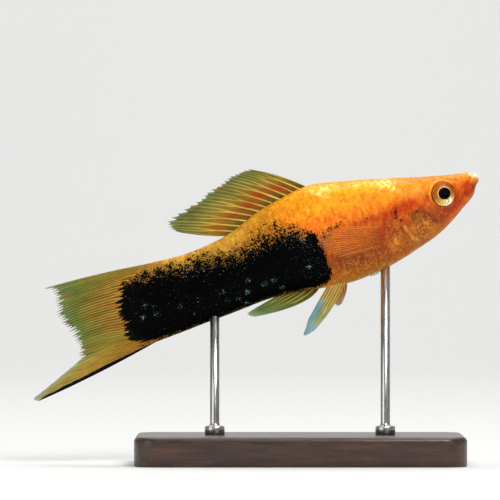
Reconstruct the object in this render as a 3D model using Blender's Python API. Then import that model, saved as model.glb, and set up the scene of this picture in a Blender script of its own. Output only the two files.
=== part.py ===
"""An adult male tuxedo swordtail, life size, held in its swimming pose by a plain display stand.

The fish is drawn in its own frame: s is the distance behind the tip of the lower jaw, y the distance to
the fish's left, and h the height above the long axis. An empty pitches that frame nose up and sets it over
the stand. Lengths are written in millimetres and made into metres where a mesh is built.
"""

import math

import bmesh
import bpy
import numpy as np
from mathutils import Matrix, Vector

MM = 0.001
GAP = 0.3  # between pieces that meet

# The pose: how far the fish is pitched nose up, where its snout is from the middle of the stand's
# underside, and how far the tail has swung to the left at the end of the sword.
PITCH = math.radians(20.0)
SNOUT_AHEAD = 30.4
SNOUT_UP = 48.5
SWING = 1.8
SWING_STARTS = 30.0
SWORD_END = 84.2

# The body's shape at stations along it: distance behind the snout, heights of the back and of the belly,
# half of the width, height of the widest level, and fullness of the section above and below that level.
STATIONS = (
    (0.0, 0.00, 0.00, 0.00, 0.0, 2.2, 2.2),
    (0.4, 0.50, -0.62, 0.85, 0.0, 2.3, 2.2),
    (1.0, 0.92, -1.22, 1.35, -0.1, 2.4, 2.2),
    (1.8, 1.62, -2.18, 1.80, -0.2, 2.6, 2.1),
    (3.0, 2.10, -3.02, 2.30, -0.3, 2.7, 2.0),
    (4.6, 2.52, -3.95, 2.92, -0.5, 2.8, 2.0),
    (6.7, 3.08, -5.25, 3.52, -0.7, 2.8, 1.95),
    (9.5, 3.86, -6.55, 4.02, -0.6, 2.6, 1.95),
    (13.0, 4.96, -7.54, 4.34, -0.3, 2.4, 2.0),
    (17.5, 6.38, -8.54, 4.42, 0.1, 2.2, 2.0),
    (22.5, 7.78, -9.14, 4.38, 0.4, 2.1, 1.95),
    (28.2, 8.95, -9.00, 4.12, 0.6, 2.0, 1.9),
    (33.0, 8.45, -8.05, 3.68, 0.4, 1.95, 1.9),
    (38.0, 7.42, -7.16, 3.18, 0.1, 1.95, 1.95),
    (43.0, 5.88, -7.08, 2.74, -0.4, 2.0, 2.0),
    (48.0, 5.20, -7.18, 2.38, -0.8, 2.0, 2.0),
    (53.0, 5.24, -7.24, 2.00, -1.0, 2.0, 2.0),
    (58.0, 5.76, -7.32, 1.50, -0.9, 2.0, 2.0),
    (62.0, 5.80, -7.24, 1.00, -0.8, 2.0, 2.0),
    (66.0, 5.00, -6.70, 0.55, -0.8, 2.0, 2.0),
)
BODY_END = 65.6
BODY_RINGS = 46
BODY_SIDES = 32
BODY_BREADTH = 12.0  # more than half of the fish's width anywhere

# Where the body is parted, as curves of (s, h) from above the back to below the belly, and corners
# of the parted regions that lie well outside the body.
JAW_CUT = ((0.45, 2.3), (1.11, 1.15), (1.5, 0.45), (2.25, -0.15), (3.2, -1.5), (4.0, -2.9), (4.5, -4.8))
GILL_CUT = (
    (10.6, 6.6), (12.3, 4.4), (14.6, 0.6), (16.5, -1.9),
    (17.6, -4.0), (17.0, -6.2), (14.6, -7.3), (12.2, -9.2),
)
STALK_CUT = ((44.0, 9.5), (44.0, -10.0))
FIN_CUT = (
    (58.4, 7.2), (60.6, 4.9), (63.3, 3.2), (64.5, 0.5),
    (64.7, -2.0), (64.3, -4.6), (62.5, -6.4), (60.2, -8.2),
)
CUT_POINTS = 24
AHEAD_OF_JAW = ((-3.0, -6.0), (-3.0, 4.0))
BELOW_TRUNK = (20.0, -11.0)
ABOVE_TRUNK = (28.0, 11.0)

# The lips, as rolls round the mouth from corner to corner.
LIP_CORNER = (2.15, 1.62, 0.05)
LOWER_LIP = (0.62, 0.78)
UPPER_LIP = (1.60, 1.50)
LIP_RADIUS = 0.42
LIP_CORNER_RADIUS = 0.2
LIP_POINTS = 15
LIP_SIDES = 10

NOSTRILS = ((3.0, 0.26), (4.5, 0.30))  # distance behind the snout, and share of the way from crown to chin
NOSTRIL_RADIUS = 0.28
NOSTRIL_PROFILE = ((0, -1), (0.7, -0.7), (1, 0), (0.7, 0.7), (0, 1))
NOSTRIL_SIDES = 8

EYE_S = 6.62
EYE_H = -0.3
EYE_RADIUS = 2.1
EYE_RIM_OUT = 3.3  # from the middle of the head to the plane of the eye's rim
EYE_DEPTH = 1.6
EYE_DOME = 0.8
EYE_FORWARD = math.radians(9.0)
EYE_SIDES = 28
SOCKET_DOME = 3.0
# Shares of the eye's radius, and of its depth below the rim or of its dome above it.
EYE_PROFILE = (
    (0.0, -1.0), (0.55, -0.88), (0.86, -0.52), (1.0, -0.08),
    (0.97, 0.2), (0.78, 0.6), (0.45, 0.9), (0.0, 1.0),
)

# The gill cover is a plate set in a pocket of the head. Its front edge follows the cheek.
COVER_TOP = 1.9
COVER_FOOT = -6.2
COVER_FRONT = ((10.9, 2.6), (10.9, 0.2), (11.6, -1.6), (12.6, -3.3), (13.2, -4.9), (13.9, -7.0))
COVER_POINTS = 10
COVER_PROUD = 0.12
COVER_THICK = 0.75
COVER_SPAN = (8.0, 24.0)
COVER_RINGS = 16
COVER_NEAR = 0.4
COVER_FAR = 9.0
POCKET_BEYOND = 2.0

# Fins: smooth curves through the roots, the bends and the tips of the rays, as points (s, y, h)
# evenly spaced across the fin.
DORSAL_BASE = (27.4, 42.8)
DORSAL_BENDS = ((31.6, 0, 12.6), (35.4, 0, 12.1), (39.6, 0, 10.9), (43.3, 0, 8.9), (46.6, 0, 6.3))
DORSAL_TIPS = (
    (36.4, 0, 14.9), (38.6, 0, 15.0), (41.4, 0, 14.4), (44.6, 0, 13.4),
    (48.2, 0, 12.3), (52.4, 0, 11.2), (51.5, 0, 9.3),
)
TAIL_TOP = 6.1
TAIL_FOOT = -5.4
CAUDAL_BENDS = ((67.5, 0, 7.0), (68.8, 0, 4.7), (69.8, 0, 1.6), (69.8, 0, -1.6), (69.3, 0, -5.2))
CAUDAL_TIPS = (
    (75.9, 0, 7.8), (74.6, 0, 6.1), (75.0, 0, 4.3), (75.2, 0, 2.6), (74.9, 0, 0.9),
    (74.2, 0, -0.9), (73.9, 0, -2.6), (73.8, 0, -4.0), (74.1, 0, -5.3),
)
SWORD_FOOT = -7.6
SWORD_BENDS = ((69.3, 0, -5.55), (70.8, 0, -6.9), (71.8, 0, -8.1), (72.5, 0, -9.3))
SWORD_TIPS = ((74.4, 0, -5.85), (78.3, 0, -7.2), (82.3, 0, -8.6), (84.2, 0, -9.3), (83.4, 0, -9.95))
GONOPODIUM = (
    ((35.4, 0, -6.4), (33.4, 0, -6.9), (31.3, 0, -7.6)),
    ((40.0, 0, -7.0), (37.5, 0, -8.6), (33.5, 0, -10.8)),
    ((44.9, 0, -8.0), (45.1, 0, -8.4), (44.4, 0, -8.9)),
)
PELVIC_RIGHT = (
    ((27.2, -0.8, -8.4), (28.6, -0.7, -8.3), (30.2, -0.6, -8.1)),
    ((30.6, -2.0, -12.6), (32.2, -1.9, -11.6), (32.6, -1.5, -10.0)),
    ((35.5, -3.4, -14.6), (37.0, -3.4, -15.0), (37.0, -3.0, -14.4), (35.6, -2.5, -12.7)),
)
PELVIC_LEFT = (
    ((27.0, 0.9, -8.4), (28.4, 0.8, -8.3), (29.8, 0.7, -8.1)),
    ((27.2, 4.2, -10.0), (28.8, 4.6, -10.3), (30.2, 4.2, -9.6)),
    ((28.3, 7.6, -11.4), (29.4, 8.4, -12.2), (30.3, 7.8, -11.8), (31.0, 6.6, -10.6)),
)
PECTORAL_RIGHT = (
    ((17.9, 0, -2.3), (18.4, 0, -3.8), (18.8, 0, -5.3)),
    ((22.0, 0, -0.7), (23.8, 0, -2.6), (22.6, 0, -4.7)),
    ((26.9, 0, 0.8), (28.6, 0, 0.1), (29.7, 0, -1.2), (29.2, 0, -2.9), (26.4, 0, -4.7)),
)
PECTORAL_LEFT = (
    ((17.9, 3.3, -2.3), (18.4, 2.9, -3.8), (18.8, 2.4, -5.3)),
    ((20.4, 8.4, -2.9), (20.9, 7.9, -5.4), (20.6, 7.0, -7.2)),
    ((22.2, 11.6, -4.2), (23.2, 11.9, -6.2), (23.3, 11.4, -8.2), (22.5, 10.4, -9.6), (21.0, 8.6, -9.4)),
)
FOLDED_RISE = 1.7  # how fast the right pectoral fin lifts off the flank, and how far it spreads from it
FOLDED_RISE_SHARE = 0.18
FOLDED_SPREAD = 1.2

MEMBRANE = 0.5
RAY_RELIEF = 0.3
RAY_FADE = 0.75  # share of its height that a ray's ridge has lost at its tip
RAY_HALF = 0.32  # where a ridge has sunk into the membrane, as a share of the way to the next ray
NOTCH = 0.3  # how far the membrane stops short of the rays' tips
CLOSE_NOTCH = 0.1
ROOT_SHARE = 1 / 3  # share of a ray over which the fin thins from its root to the membrane
EDGE_STARTS = 0.6
EDGE_SHARE = 0.5  # a fin's thickness at its free edge, as a share of the membrane's
ROOT_SUNK = 0.7
GROWN_SPAN = (5.0, 50.0)
GROWN_RINGS = 40

BASE_LENGTH = 56.0
BASE_WIDTH = 30.0
BASE_HEIGHT = 5.0
BASE_CORNER = 4.0
BASE_EDGE = 0.8
ROD_SPACING = 29.0
ROD_RADIUS = 0.8
ROD_TOP = 40.0
ROD_SIDES = 20
ROD_SPAN = (5.0, 60.0)
ROD_RINGS = 60
FOOT_RADIUS = 1.7
FOOT_HEIGHT = 1.3
FOOT_EDGE = 0.3

# Colour, roughness and how metallic each kind of piece is.
ORANGE = ((0.90, 0.33, 0.05), 0.4, 0.0)
BLACK = ((0.02, 0.02, 0.02), 0.4, 0.0)
GOLD = ((0.72, 0.45, 0.12), 0.45, 0.0)
IRIS = ((0.70, 0.50, 0.18), 0.15, 0.0)
WOOD = ((0.10, 0.06, 0.04), 0.45, 0.0)
STEEL = ((0.75, 0.75, 0.74), 0.3, 1.0)
SHARP_FROM = math.radians(40)


def spline(knots, values, at):
    """A natural cubic spline through rows of values, read at each number of at."""
    knots = np.asarray(knots, float)
    values = np.asarray(values, float)
    at = np.asarray(at, float)
    steps = np.diff(knots)
    slopes = np.diff(values, axis=0) / steps[:, None]
    system = np.eye(len(knots))
    right = np.zeros_like(values)
    for i in range(1, len(knots) - 1):
        system[i, i - 1 : i + 2] = steps[i - 1], 2 * (steps[i - 1] + steps[i]), steps[i]
        right[i] = 6 * (slopes[i] - slopes[i - 1])
    bends = np.linalg.solve(system, right)
    i = np.clip(np.searchsorted(knots, at) - 1, 0, len(knots) - 2)
    after = ((at - knots[i]) / steps[i])[:, None]
    before = 1 - after
    curving = (before**3 - before) * bends[i] + (after**3 - after) * bends[i + 1]
    return before * values[i] + after * values[i + 1] + curving * (steps[i] ** 2)[:, None] / 6


def curve_through(points, count):
    """Evenly spread points on a smooth curve through the given ones."""
    points = np.asarray(points, float)
    along = np.concatenate([[0], np.cumsum(np.linalg.norm(np.diff(points, axis=0), axis=1))])
    return spline(along, points, np.linspace(0, along[-1], count))


def across(points, shares):
    """Points on a smooth curve whose given points are evenly spaced from share 0 to share 1."""
    return spline(np.linspace(0, 1, len(points)), points, shares)


def shifted(curve, distance):
    """A curve of (s, h) moved sideways; a positive distance moves it towards the tail."""
    ways = np.gradient(curve, axis=0)
    ways /= np.linalg.norm(ways, axis=1)[:, None]
    return curve + distance * np.column_stack([-ways[:, 1], ways[:, 0]])


def swung(points):
    """Points (s, y, h) moved left as the tail's swing says."""
    behind = np.clip((points[:, 0] - SWING_STARTS) / (SWORD_END - SWING_STARTS), 0, None)
    return points + np.outer(SWING * behind**2, (0, 1, 0))


def section(s):
    """Back, belly, half width, widest level and the two fullnesses of the body at each s."""
    table = np.array(STATIONS)
    return spline(np.sqrt(table[:, 0]), table[:, 1:], np.sqrt(s)).T


def body_ring(s, angles, grow=0.0):
    """(y, h) of the body's outline at s for angles from the back, half a turn to the belly."""
    back, belly, half, level, full_above, full_below = section(np.array([s]))[:, 0]
    above = np.cos(angles) >= 0
    power = 2 / np.where(above, full_above, full_below)
    reach = np.where(above, back - level, level - belly) + grow
    up = np.sign(np.cos(angles)) * np.abs(np.cos(angles)) ** power
    out = np.sign(np.sin(angles)) * np.abs(np.sin(angles)) ** power
    return (half + grow) * out, level + reach * up


def flank(s, h):
    """Half of the body's width at each s and height h."""
    back, belly, half, level, full_above, full_below = section(s)
    above = h >= level
    power = np.where(above, full_above, full_below)
    share = np.clip(np.where(above, (h - level) / (back - level), (level - h) / (level - belly)), 0, 1)
    return half * (1 - share**power) ** (1 / power)


def linked(name, mesh, parent=None):
    """An object in the scene with the mesh."""
    obj = bpy.data.objects.new(name, mesh)
    bpy.context.scene.collection.objects.link(obj)
    obj.parent = parent
    return obj


def new_object(name, points, faces, parent=None, swing=True):
    """A mesh object from points (s, y, h), or (x, y, z) of the stand where there is no parent."""
    points = np.asarray(points, float)
    if parent is not None:
        points = (swung(points) if swing else points) * (-1, 1, 1)
    mesh = bpy.data.meshes.new(name)
    mesh.from_pydata((points * MM).tolist(), [], faces)
    work = bmesh.new()
    work.from_mesh(mesh)
    bmesh.ops.recalc_face_normals(work, faces=work.faces)
    work.to_mesh(mesh)
    work.free()
    return linked(name, mesh, parent)


def body_piece(name, fish, span, rings, grow=0.0):
    """The body between two stations, closed by a fan at each end, larger or smaller all round by grow."""
    angles = np.arange(BODY_SIDES) * 2 * math.pi / BODY_SIDES
    stations = np.linspace(math.sqrt(span[0]), math.sqrt(span[1]), rings) ** 2
    points = []
    for s in stations[stations > 0]:
        y, h = body_ring(s, angles, grow)
        points += [(s, a, b) for a, b in zip(y, h)]
    rings = len(points) // BODY_SIDES
    front, rear = len(points), len(points) + 1
    level = section(stations[[0, -1]])[3]
    points += [(span[0], 0, level[0]), (span[1], 0, level[1])]
    faces = []
    for side in range(BODY_SIDES):
        beside = (side + 1) % BODY_SIDES
        for ring in range(rings - 1):
            low, high = ring * BODY_SIDES, (ring + 1) * BODY_SIDES
            faces.append((low + side, low + beside, high + beside, high + side))
        last = (rings - 1) * BODY_SIDES
        faces.append((side, front, beside))
        faces.append((last + side, last + beside, rear))
    return new_object(name, points, faces, fish)


def prism(name, fish, outline, near=-BODY_BREADTH, far=BODY_BREADTH):
    """A block whose side view is the outline of (s, h) points, from y near to y far."""
    count = len(outline)
    points = [(s, near, h) for s, h in outline] + [(s, far, h) for s, h in outline]
    faces = [tuple(range(count)), tuple(range(count, 2 * count))]
    faces += [(i, (i + 1) % count, count + (i + 1) % count, count + i) for i in range(count)]
    return new_object(name, points, faces, fish, swing=False)


def roll(name, fish, points, radii):
    """A closed round roll along points, with a radius at each."""
    rings = []
    for point, way, radius in zip(points, np.gradient(points, axis=0), radii):
        turn = Vector(way).to_track_quat("Z", "X")
        for k in range(LIP_SIDES):
            angle = 2 * math.pi * k / LIP_SIDES
            rings.append(point + radius * np.array(turn @ Vector((math.cos(angle), math.sin(angle), 0))))
    last = len(rings) - LIP_SIDES
    faces = [tuple(range(LIP_SIDES)), tuple(range(last, last + LIP_SIDES))]
    for ring in range(0, last, LIP_SIDES):
        for k in range(LIP_SIDES):
            j = (k + 1) % LIP_SIDES
            faces.append((ring + k, ring + j, ring + LIP_SIDES + j, ring + LIP_SIDES + k))
    return new_object(name, rings, faces, fish)


def turned_points(profile, sides):
    """Points and faces of a profile of (radius, height) turned about an axis, closed on the axis."""
    middle = profile[1:-1]
    points = [(0, 0, profile[0][1]), (0, 0, profile[-1][1])]
    for radius, height in middle:
        for k in range(sides):
            angle = 2 * math.pi * k / sides
            points.append((radius * math.cos(angle), radius * math.sin(angle), height))
    faces = []
    last = 2 + (len(middle) - 1) * sides
    for k in range(sides):
        j = (k + 1) % sides
        faces += [(0, 2 + j, 2 + k), (1, last + k, last + j)]
        for low in range(2, last, sides):
            faces.append((low + k, low + j, low + sides + j, low + sides + k))
    return np.array(points), faces


def combined(obj, operation, other):
    """Applies a Boolean with another object, removes that object, and keeps the largest closed surface."""
    modifier = obj.modifiers.new(operation, "BOOLEAN")
    modifier.operation = operation
    modifier.solver = "EXACT"
    modifier.object = other
    bpy.context.view_layer.update()
    graph = bpy.context.evaluated_depsgraph_get()
    made = bpy.data.meshes.new_from_object(obj.evaluated_get(graph))
    obj.modifiers.clear()
    obj.data = made
    bpy.data.objects.remove(other)
    keep_largest(obj)
    return obj


def keep_largest(obj):
    """Drops every separate surface of a mesh but the largest."""
    work = bmesh.new()
    work.from_mesh(obj.data)
    bmesh.ops.triangulate(work, faces=work.faces)
    left = set(work.verts)
    groups = []
    while left:
        group, edge = set(), [left.pop()]
        while edge:
            vert = edge.pop()
            group.add(vert)
            near = {e.other_vert(vert) for e in vert.link_edges} & left
            left -= near
            edge += near
        groups.append(group)
    groups.sort(key=lambda g: sum(f.calc_area() for v in g for f in v.link_faces))
    bmesh.ops.delete(work, geom=[v for g in groups[:-1] for v in g], context="VERTS")
    work.to_mesh(obj.data)
    work.free()


def finished(obj, colour, roughness, metallic):
    """Gives a piece its own material and smooth shading with sharp edges kept."""
    material = bpy.data.materials.new(obj.name)
    material.use_nodes = True
    shader = material.node_tree.nodes["Principled BSDF"]
    shader.inputs["Base Color"].default_value = (*colour, 1.0)
    shader.inputs["Roughness"].default_value = roughness
    shader.inputs["Metallic"].default_value = metallic
    obj.data.materials.clear()
    obj.data.materials.append(material)
    obj.data.shade_smooth()
    obj.data.set_sharp_from_angle(angle=SHARP_FROM)


def lip(name, fish, middle):
    """One lip, from the left corner of the mouth round the front to the right one."""
    turns = np.linspace(-math.pi / 2, math.pi / 2, LIP_POINTS)
    back = 1 - np.cos(turns)
    s = middle[0] + (LIP_CORNER[0] - middle[0]) * back
    y = LIP_CORNER[1] * np.sin(turns)
    h = middle[1] + (LIP_CORNER[2] - middle[1]) * back
    radii = LIP_RADIUS + (LIP_CORNER_RADIUS - LIP_RADIUS) * back
    return roll(name, fish, np.column_stack([s, y, h]), radii)


def body_nodes(fish):
    """The body, modelled whole with its lips and parted by thin cuts."""
    whole = body_piece("whole", fish, (0.0, BODY_END), BODY_RINGS)
    combined(whole, "UNION", lip("lower_lip", fish, LOWER_LIP))
    combined(whole, "UNION", lip("upper_lip", fish, UPPER_LIP))
    jaw, gill, stalk, fin = (curve_through(cut, CUT_POINTS) for cut in (JAW_CUT, GILL_CUT, STALK_CUT, FIN_CUT))
    near, far = -GAP / 2, GAP / 2
    regions = {
        "lower_jaw": np.vstack([AHEAD_OF_JAW, shifted(jaw, near)]),
        "head": np.vstack([shifted(jaw, far), shifted(gill, near)[::-1]]),
        "trunk": np.vstack([shifted(gill, far), [BELOW_TRUNK], shifted(stalk, near)[::-1], [ABOVE_TRUNK]]),
        "tail_stalk": np.vstack([shifted(stalk, far), shifted(fin, near)[::-1]]),
    }
    nodes = {}
    for name, outline in regions.items():
        piece = linked(name, whole.data.copy(), fish)
        nodes[name] = combined(piece, "INTERSECT", prism("region", fish, outline))
    bpy.data.objects.remove(whole)
    return nodes, gill, fin


def eye(name, fish, side, grow=0.0, dome=EYE_DOME):
    """The eye as a turned lens, its rim in the plane of the orbit and its dome outwards."""
    radius, depth = EYE_RADIUS + grow, EYE_DEPTH + grow
    profile = [(out * radius, up * (dome if up > 0 else depth)) for out, up in EYE_PROFILE]
    points, faces = turned_points(profile, EYE_SIDES)
    outwards = Matrix.Rotation(side * EYE_FORWARD, 3, "Z") @ Vector((0, side, 0))
    turn = outwards.to_track_quat("Z", "X").to_matrix()
    return new_object(name, points @ np.array(turn).T + (EYE_S, side * EYE_RIM_OUT, EYE_H), faces, fish)


def nostril(fish, side, s, share):
    """The shape that a nostril leaves in the head."""
    y, h = body_ring(s, np.array([share * math.pi]))
    points, faces = turned_points(NOSTRIL_PROFILE, NOSTRIL_SIDES)
    return new_object("nostril", points * NOSTRIL_RADIUS + (s, side * y[0], h[0]), faces, fish)


def at_heights(curve, heights):
    """Where a curve of (s, h) that runs downwards passes each height."""
    return np.column_stack([np.interp(-heights, -curve[:, 1], curve[:, 0]), heights])


def cover_outline(gill, grow=0.0, beyond=0.0):
    """Side view of the gill cover: its rear edge is the head's own, moved back by beyond."""
    heights = np.linspace(COVER_TOP + grow, COVER_FOOT - grow, COVER_POINTS)
    rear = at_heights(shifted(gill, beyond - GAP / 2), heights)
    front = at_heights(shifted(curve_through(COVER_FRONT, CUT_POINTS), -grow), heights)
    return np.vstack([rear, front[::-1]])


def gill_cover(name, fish, gill, side, head):
    """A gill cover, curved as the head is, and the pocket that it lies in."""
    near, far = sorted((side * COVER_NEAR, side * COVER_FAR))
    under = COVER_PROUD - COVER_THICK
    wider = (COVER_SPAN[0] - 1, COVER_SPAN[1] + 1)
    plate = prism(name, fish, cover_outline(gill), near, far)
    combined(plate, "INTERSECT", body_piece("outside", fish, COVER_SPAN, COVER_RINGS, COVER_PROUD))
    combined(plate, "DIFFERENCE", body_piece("inside", fish, wider, COVER_RINGS, under))
    pocket = prism("pocket", fish, cover_outline(gill, GAP, POCKET_BEYOND), near, far)
    combined(pocket, "DIFFERENCE", body_piece("floor", fish, wider, COVER_RINGS, under - GAP))
    combined(head, "DIFFERENCE", pocket)
    return plate


def fish_nodes(fish):
    """Every piece of the fish, by node name."""
    nodes, gill, fin_cut = body_nodes(fish)
    head = nodes["head"]
    for side, word in ((-1, "right"), (1, "left")):
        nodes["eye_" + word] = eye("eye_" + word, fish, side)
        combined(head, "DIFFERENCE", eye("socket", fish, side, GAP, SOCKET_DOME))
        for s, share in NOSTRILS:
            combined(head, "DIFFERENCE", nostril(fish, side, s, share))
        name = "gill_cover_" + word
        nodes[name] = gill_cover(name, fish, gill, side, head)
    nodes.update(tail_fins(fish, fin_cut))
    nodes.update(body_fins(fish))
    return nodes


def blade(name, fish, curves, rays, rows, root_thick, notch=NOTCH, lateral=None):
    """A fin as one closed blade, its rays raised as ridges and their tips standing past the membrane."""
    shares, crest = [], []
    for ray in range(rays - 1):
        shares += [ray, ray + RAY_HALF, ray + 1 - RAY_HALF]
        crest += [1.0, 0.0, 0.0]
    shares = np.array(shares + [rays - 1]) / (rays - 1)
    crest = np.array(crest + [1.0])[:, None]
    root, bend, tip = (across(points, shares)[:, None, :] for points in curves)
    reach = 1 - notch * (1 - crest) / np.linalg.norm(tip - root, axis=2)
    along = np.linspace(0, 1, rows)[None, :] * reach
    v = along[:, :, None]
    grid = (1 - v) ** 2 * root + 2 * v * (1 - v) * bend + v**2 * tip
    if lateral is not None:
        grid[:, :, 1] = lateral(grid[:, :, 0], grid[:, :, 2], along)
    normal = np.cross(np.gradient(grid, axis=0), np.gradient(grid, axis=1))
    normal /= np.linalg.norm(normal, axis=2)[:, :, None]
    half = normal * thickness(along, crest, root_thick)[:, :, None] / 2
    return closed_sheet(name, fish, grid + half, grid - half)


def thickness(along, crest, root_thick):
    """A fin's thickness at shares along its rays, on a ray's crest or between rays."""
    thick = root_thick + (MEMBRANE - root_thick) * np.clip(along / ROOT_SHARE, 0, 1)
    thick = thick * (1 - (1 - EDGE_SHARE) * np.clip((along - EDGE_STARTS) / (1 - EDGE_STARTS), 0, 1))
    return thick + RAY_RELIEF * crest * (1 - RAY_FADE * along)


def closed_sheet(name, fish, face, back):
    """Joins two grids of points, split into triangles alike, into one closed body."""
    columns, rows = face.shape[:2]
    points = np.vstack([face.reshape(-1, 3), back.reshape(-1, 3)])
    offset = columns * rows
    faces = []
    for i in range(columns - 1):
        for j in range(rows - 1):
            a, b = i * rows + j, (i + 1) * rows + j
            faces += [(a, b, b + 1), (a, b + 1, a + 1)]
            faces += [(offset + b, offset + a, offset + b + 1), (offset + b + 1, offset + a, offset + a + 1)]
    rim = [i * rows for i in range(columns)]
    rim += [(columns - 1) * rows + j for j in range(1, rows)]
    rim += [i * rows + rows - 1 for i in range(columns - 2, -1, -1)]
    rim += [j for j in range(rows - 2, 0, -1)]
    for a, b in zip(rim, rim[1:] + rim[:1]):
        faces += [(a, b, offset + b), (a, offset + b, offset + a)]
    return new_object(name, points, faces, fish)


def tail_fins(fish, fin_cut):
    """The tail fin and its sword, rooted along the rear edge of the tail stalk."""
    edge = shifted(fin_cut, GAP / 2)
    edge = np.column_stack([edge[:, 0], np.zeros(len(edge)), edge[:, 1]])
    fan = edge[(edge[:, 2] < TAIL_TOP) & (edge[:, 2] > TAIL_FOOT)][::2]
    foot = edge[(edge[:, 2] < TAIL_FOOT) & (edge[:, 2] > SWORD_FOOT)]
    caudal = (fan, CAUDAL_BENDS, CAUDAL_TIPS)
    sword = (foot, SWORD_BENDS, SWORD_TIPS)
    return {
        "caudal_fin": blade("caudal_fin", fish, caudal, rays=16, rows=8, root_thick=0.9),
        "sword": blade("sword", fish, sword, rays=6, rows=9, root_thick=0.9, notch=CLOSE_NOTCH),
    }


def body_fins(fish):
    """The fins on the back and the belly, trimmed to stand clear of the body."""
    base = np.linspace(*DORSAL_BASE, 7)
    roots = [(s, 0, back - ROOT_SUNK) for s, back in zip(base, section(base)[0])]
    dorsal = (roots, DORSAL_BENDS, DORSAL_TIPS)
    made = [
        blade("dorsal_fin", fish, dorsal, rays=13, rows=8, root_thick=0.9),
        blade("gonopodium", fish, GONOPODIUM, rays=5, rows=8, root_thick=1.1, notch=CLOSE_NOTCH),
        blade("pelvic_fin_right", fish, PELVIC_RIGHT, rays=6, rows=7, root_thick=0.8),
        blade("pelvic_fin_left", fish, PELVIC_LEFT, rays=6, rows=7, root_thick=0.8),
        blade("pectoral_fin_right", fish, PECTORAL_RIGHT, rays=9, rows=8, root_thick=0.8, lateral=folded),
        blade("pectoral_fin_left", fish, PECTORAL_LEFT, rays=9, rows=8, root_thick=0.8),
    ]
    for fin in made:
        combined(fin, "DIFFERENCE", body_piece("grown", fish, GROWN_SPAN, GROWN_RINGS, GAP))
    return {fin.name: fin for fin in made}


def folded(s, h, along):
    """How far out the right pectoral fin stands, folded back along the flank."""
    clear = FOLDED_RISE * np.clip(along / FOLDED_RISE_SHARE, 0, 1) + FOLDED_SPREAD * along - ROOT_SUNK
    return -(flank(s.ravel(), h.ravel()).reshape(s.shape) + clear)


def stand_base():
    """A flat base with rounded corners and a softened top edge."""
    work = bmesh.new()
    bmesh.ops.create_cube(work, size=1.0)
    bmesh.ops.scale(work, vec=Vector((BASE_LENGTH, BASE_WIDTH, BASE_HEIGHT)) * MM, verts=work.verts)
    bmesh.ops.translate(work, vec=(0, 0, BASE_HEIGHT / 2 * MM), verts=work.verts)
    upright = [e for e in work.edges if abs(e.verts[0].co.z - e.verts[1].co.z) > MM]
    bmesh.ops.bevel(work, geom=upright, offset=BASE_CORNER * MM, segments=8, affect="EDGES", profile=0.5)
    top = [e for e in work.edges if min(v.co.z for v in e.verts) > (BASE_HEIGHT - 0.01) * MM]
    bmesh.ops.bevel(work, geom=top, offset=BASE_EDGE * MM, segments=3, affect="EDGES", profile=0.5)
    mesh = bpy.data.meshes.new("stand_base")
    work.to_mesh(mesh)
    work.free()
    return linked("stand_base", mesh)


def stand_rod(name, fish, x):
    """A round rod with a collar at its foot, cut off just clear of the body's underside."""
    foot = BASE_HEIGHT + GAP
    neck = foot + FOOT_HEIGHT
    profile = [
        (0, foot), (FOOT_RADIUS, foot), (FOOT_RADIUS, neck - FOOT_EDGE), (FOOT_RADIUS - FOOT_EDGE, neck),
        (ROD_RADIUS, neck + FOOT_EDGE / 2), (ROD_RADIUS, ROD_TOP), (0, ROD_TOP),
    ]
    points, faces = turned_points(profile, ROD_SIDES)
    rod = new_object(name, points + (x, 0, 0), faces)
    return combined(rod, "DIFFERENCE", body_piece("grown", fish, ROD_SPAN, ROD_RINGS, GAP))


def look_of(name):
    """Colour, roughness and metallic of a node."""
    if name.startswith("eye"):
        return IRIS
    if name.startswith("stand_rod"):
        return STEEL
    if name == "stand_base":
        return WOOD
    if name == "tail_stalk":
        return BLACK
    if name in ("head", "lower_jaw", "trunk", "gill_cover_right", "gill_cover_left"):
        return ORANGE
    return GOLD


def build():
    for obj in list(bpy.data.objects):
        bpy.data.objects.remove(obj)
    fish = linked("fish_pose", None)
    fish.location = (SNOUT_AHEAD * MM, 0, SNOUT_UP * MM)
    fish.rotation_euler = (0, -PITCH, 0)
    nodes = fish_nodes(fish)
    nodes["stand_base"] = stand_base()
    nodes["stand_rod_front"] = stand_rod("stand_rod_front", fish, ROD_SPACING / 2)
    nodes["stand_rod_rear"] = stand_rod("stand_rod_rear", fish, -ROD_SPACING / 2)
    for name, obj in nodes.items():
        finished(obj, *look_of(name))


build()
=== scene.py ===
"""The looks of the tuxedo swordtail: skin, scales, fins, eyes and stand, lit in a pale studio.

The fish is drawn in its own frame, in millimetres: s is the distance behind the tip of the lower jaw, y the
distance to the fish's left, and h the height above the long axis. placed() turns such points into the
world's metres. A place on the body is given by s and w: w is 0 on the back, 1 on the belly and 2 on the back
again, and runs down the right flank and up the left one.
"""

import math

import bpy
import numpy as np
from mathutils import Matrix, Vector


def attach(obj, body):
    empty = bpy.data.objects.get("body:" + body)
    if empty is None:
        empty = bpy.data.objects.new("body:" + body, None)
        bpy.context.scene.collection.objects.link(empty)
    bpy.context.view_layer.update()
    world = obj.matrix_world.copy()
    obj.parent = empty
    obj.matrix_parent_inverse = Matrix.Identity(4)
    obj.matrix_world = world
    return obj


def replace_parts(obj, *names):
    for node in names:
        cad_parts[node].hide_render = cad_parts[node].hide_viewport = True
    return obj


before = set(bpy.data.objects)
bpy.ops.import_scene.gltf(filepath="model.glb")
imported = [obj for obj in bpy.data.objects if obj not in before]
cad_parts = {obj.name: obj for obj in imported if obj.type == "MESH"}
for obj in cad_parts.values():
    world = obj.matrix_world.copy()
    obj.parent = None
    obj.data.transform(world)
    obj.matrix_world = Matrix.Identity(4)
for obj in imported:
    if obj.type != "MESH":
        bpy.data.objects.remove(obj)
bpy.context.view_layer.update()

MM = 0.001

# The pose, as the solids have it
PITCH = math.radians(20.0)
SNOUT_AHEAD = 30.4
SNOUT_UP = 48.5
SWING = 1.8
SWING_STARTS = 30.0
SWORD_END = 84.2

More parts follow.
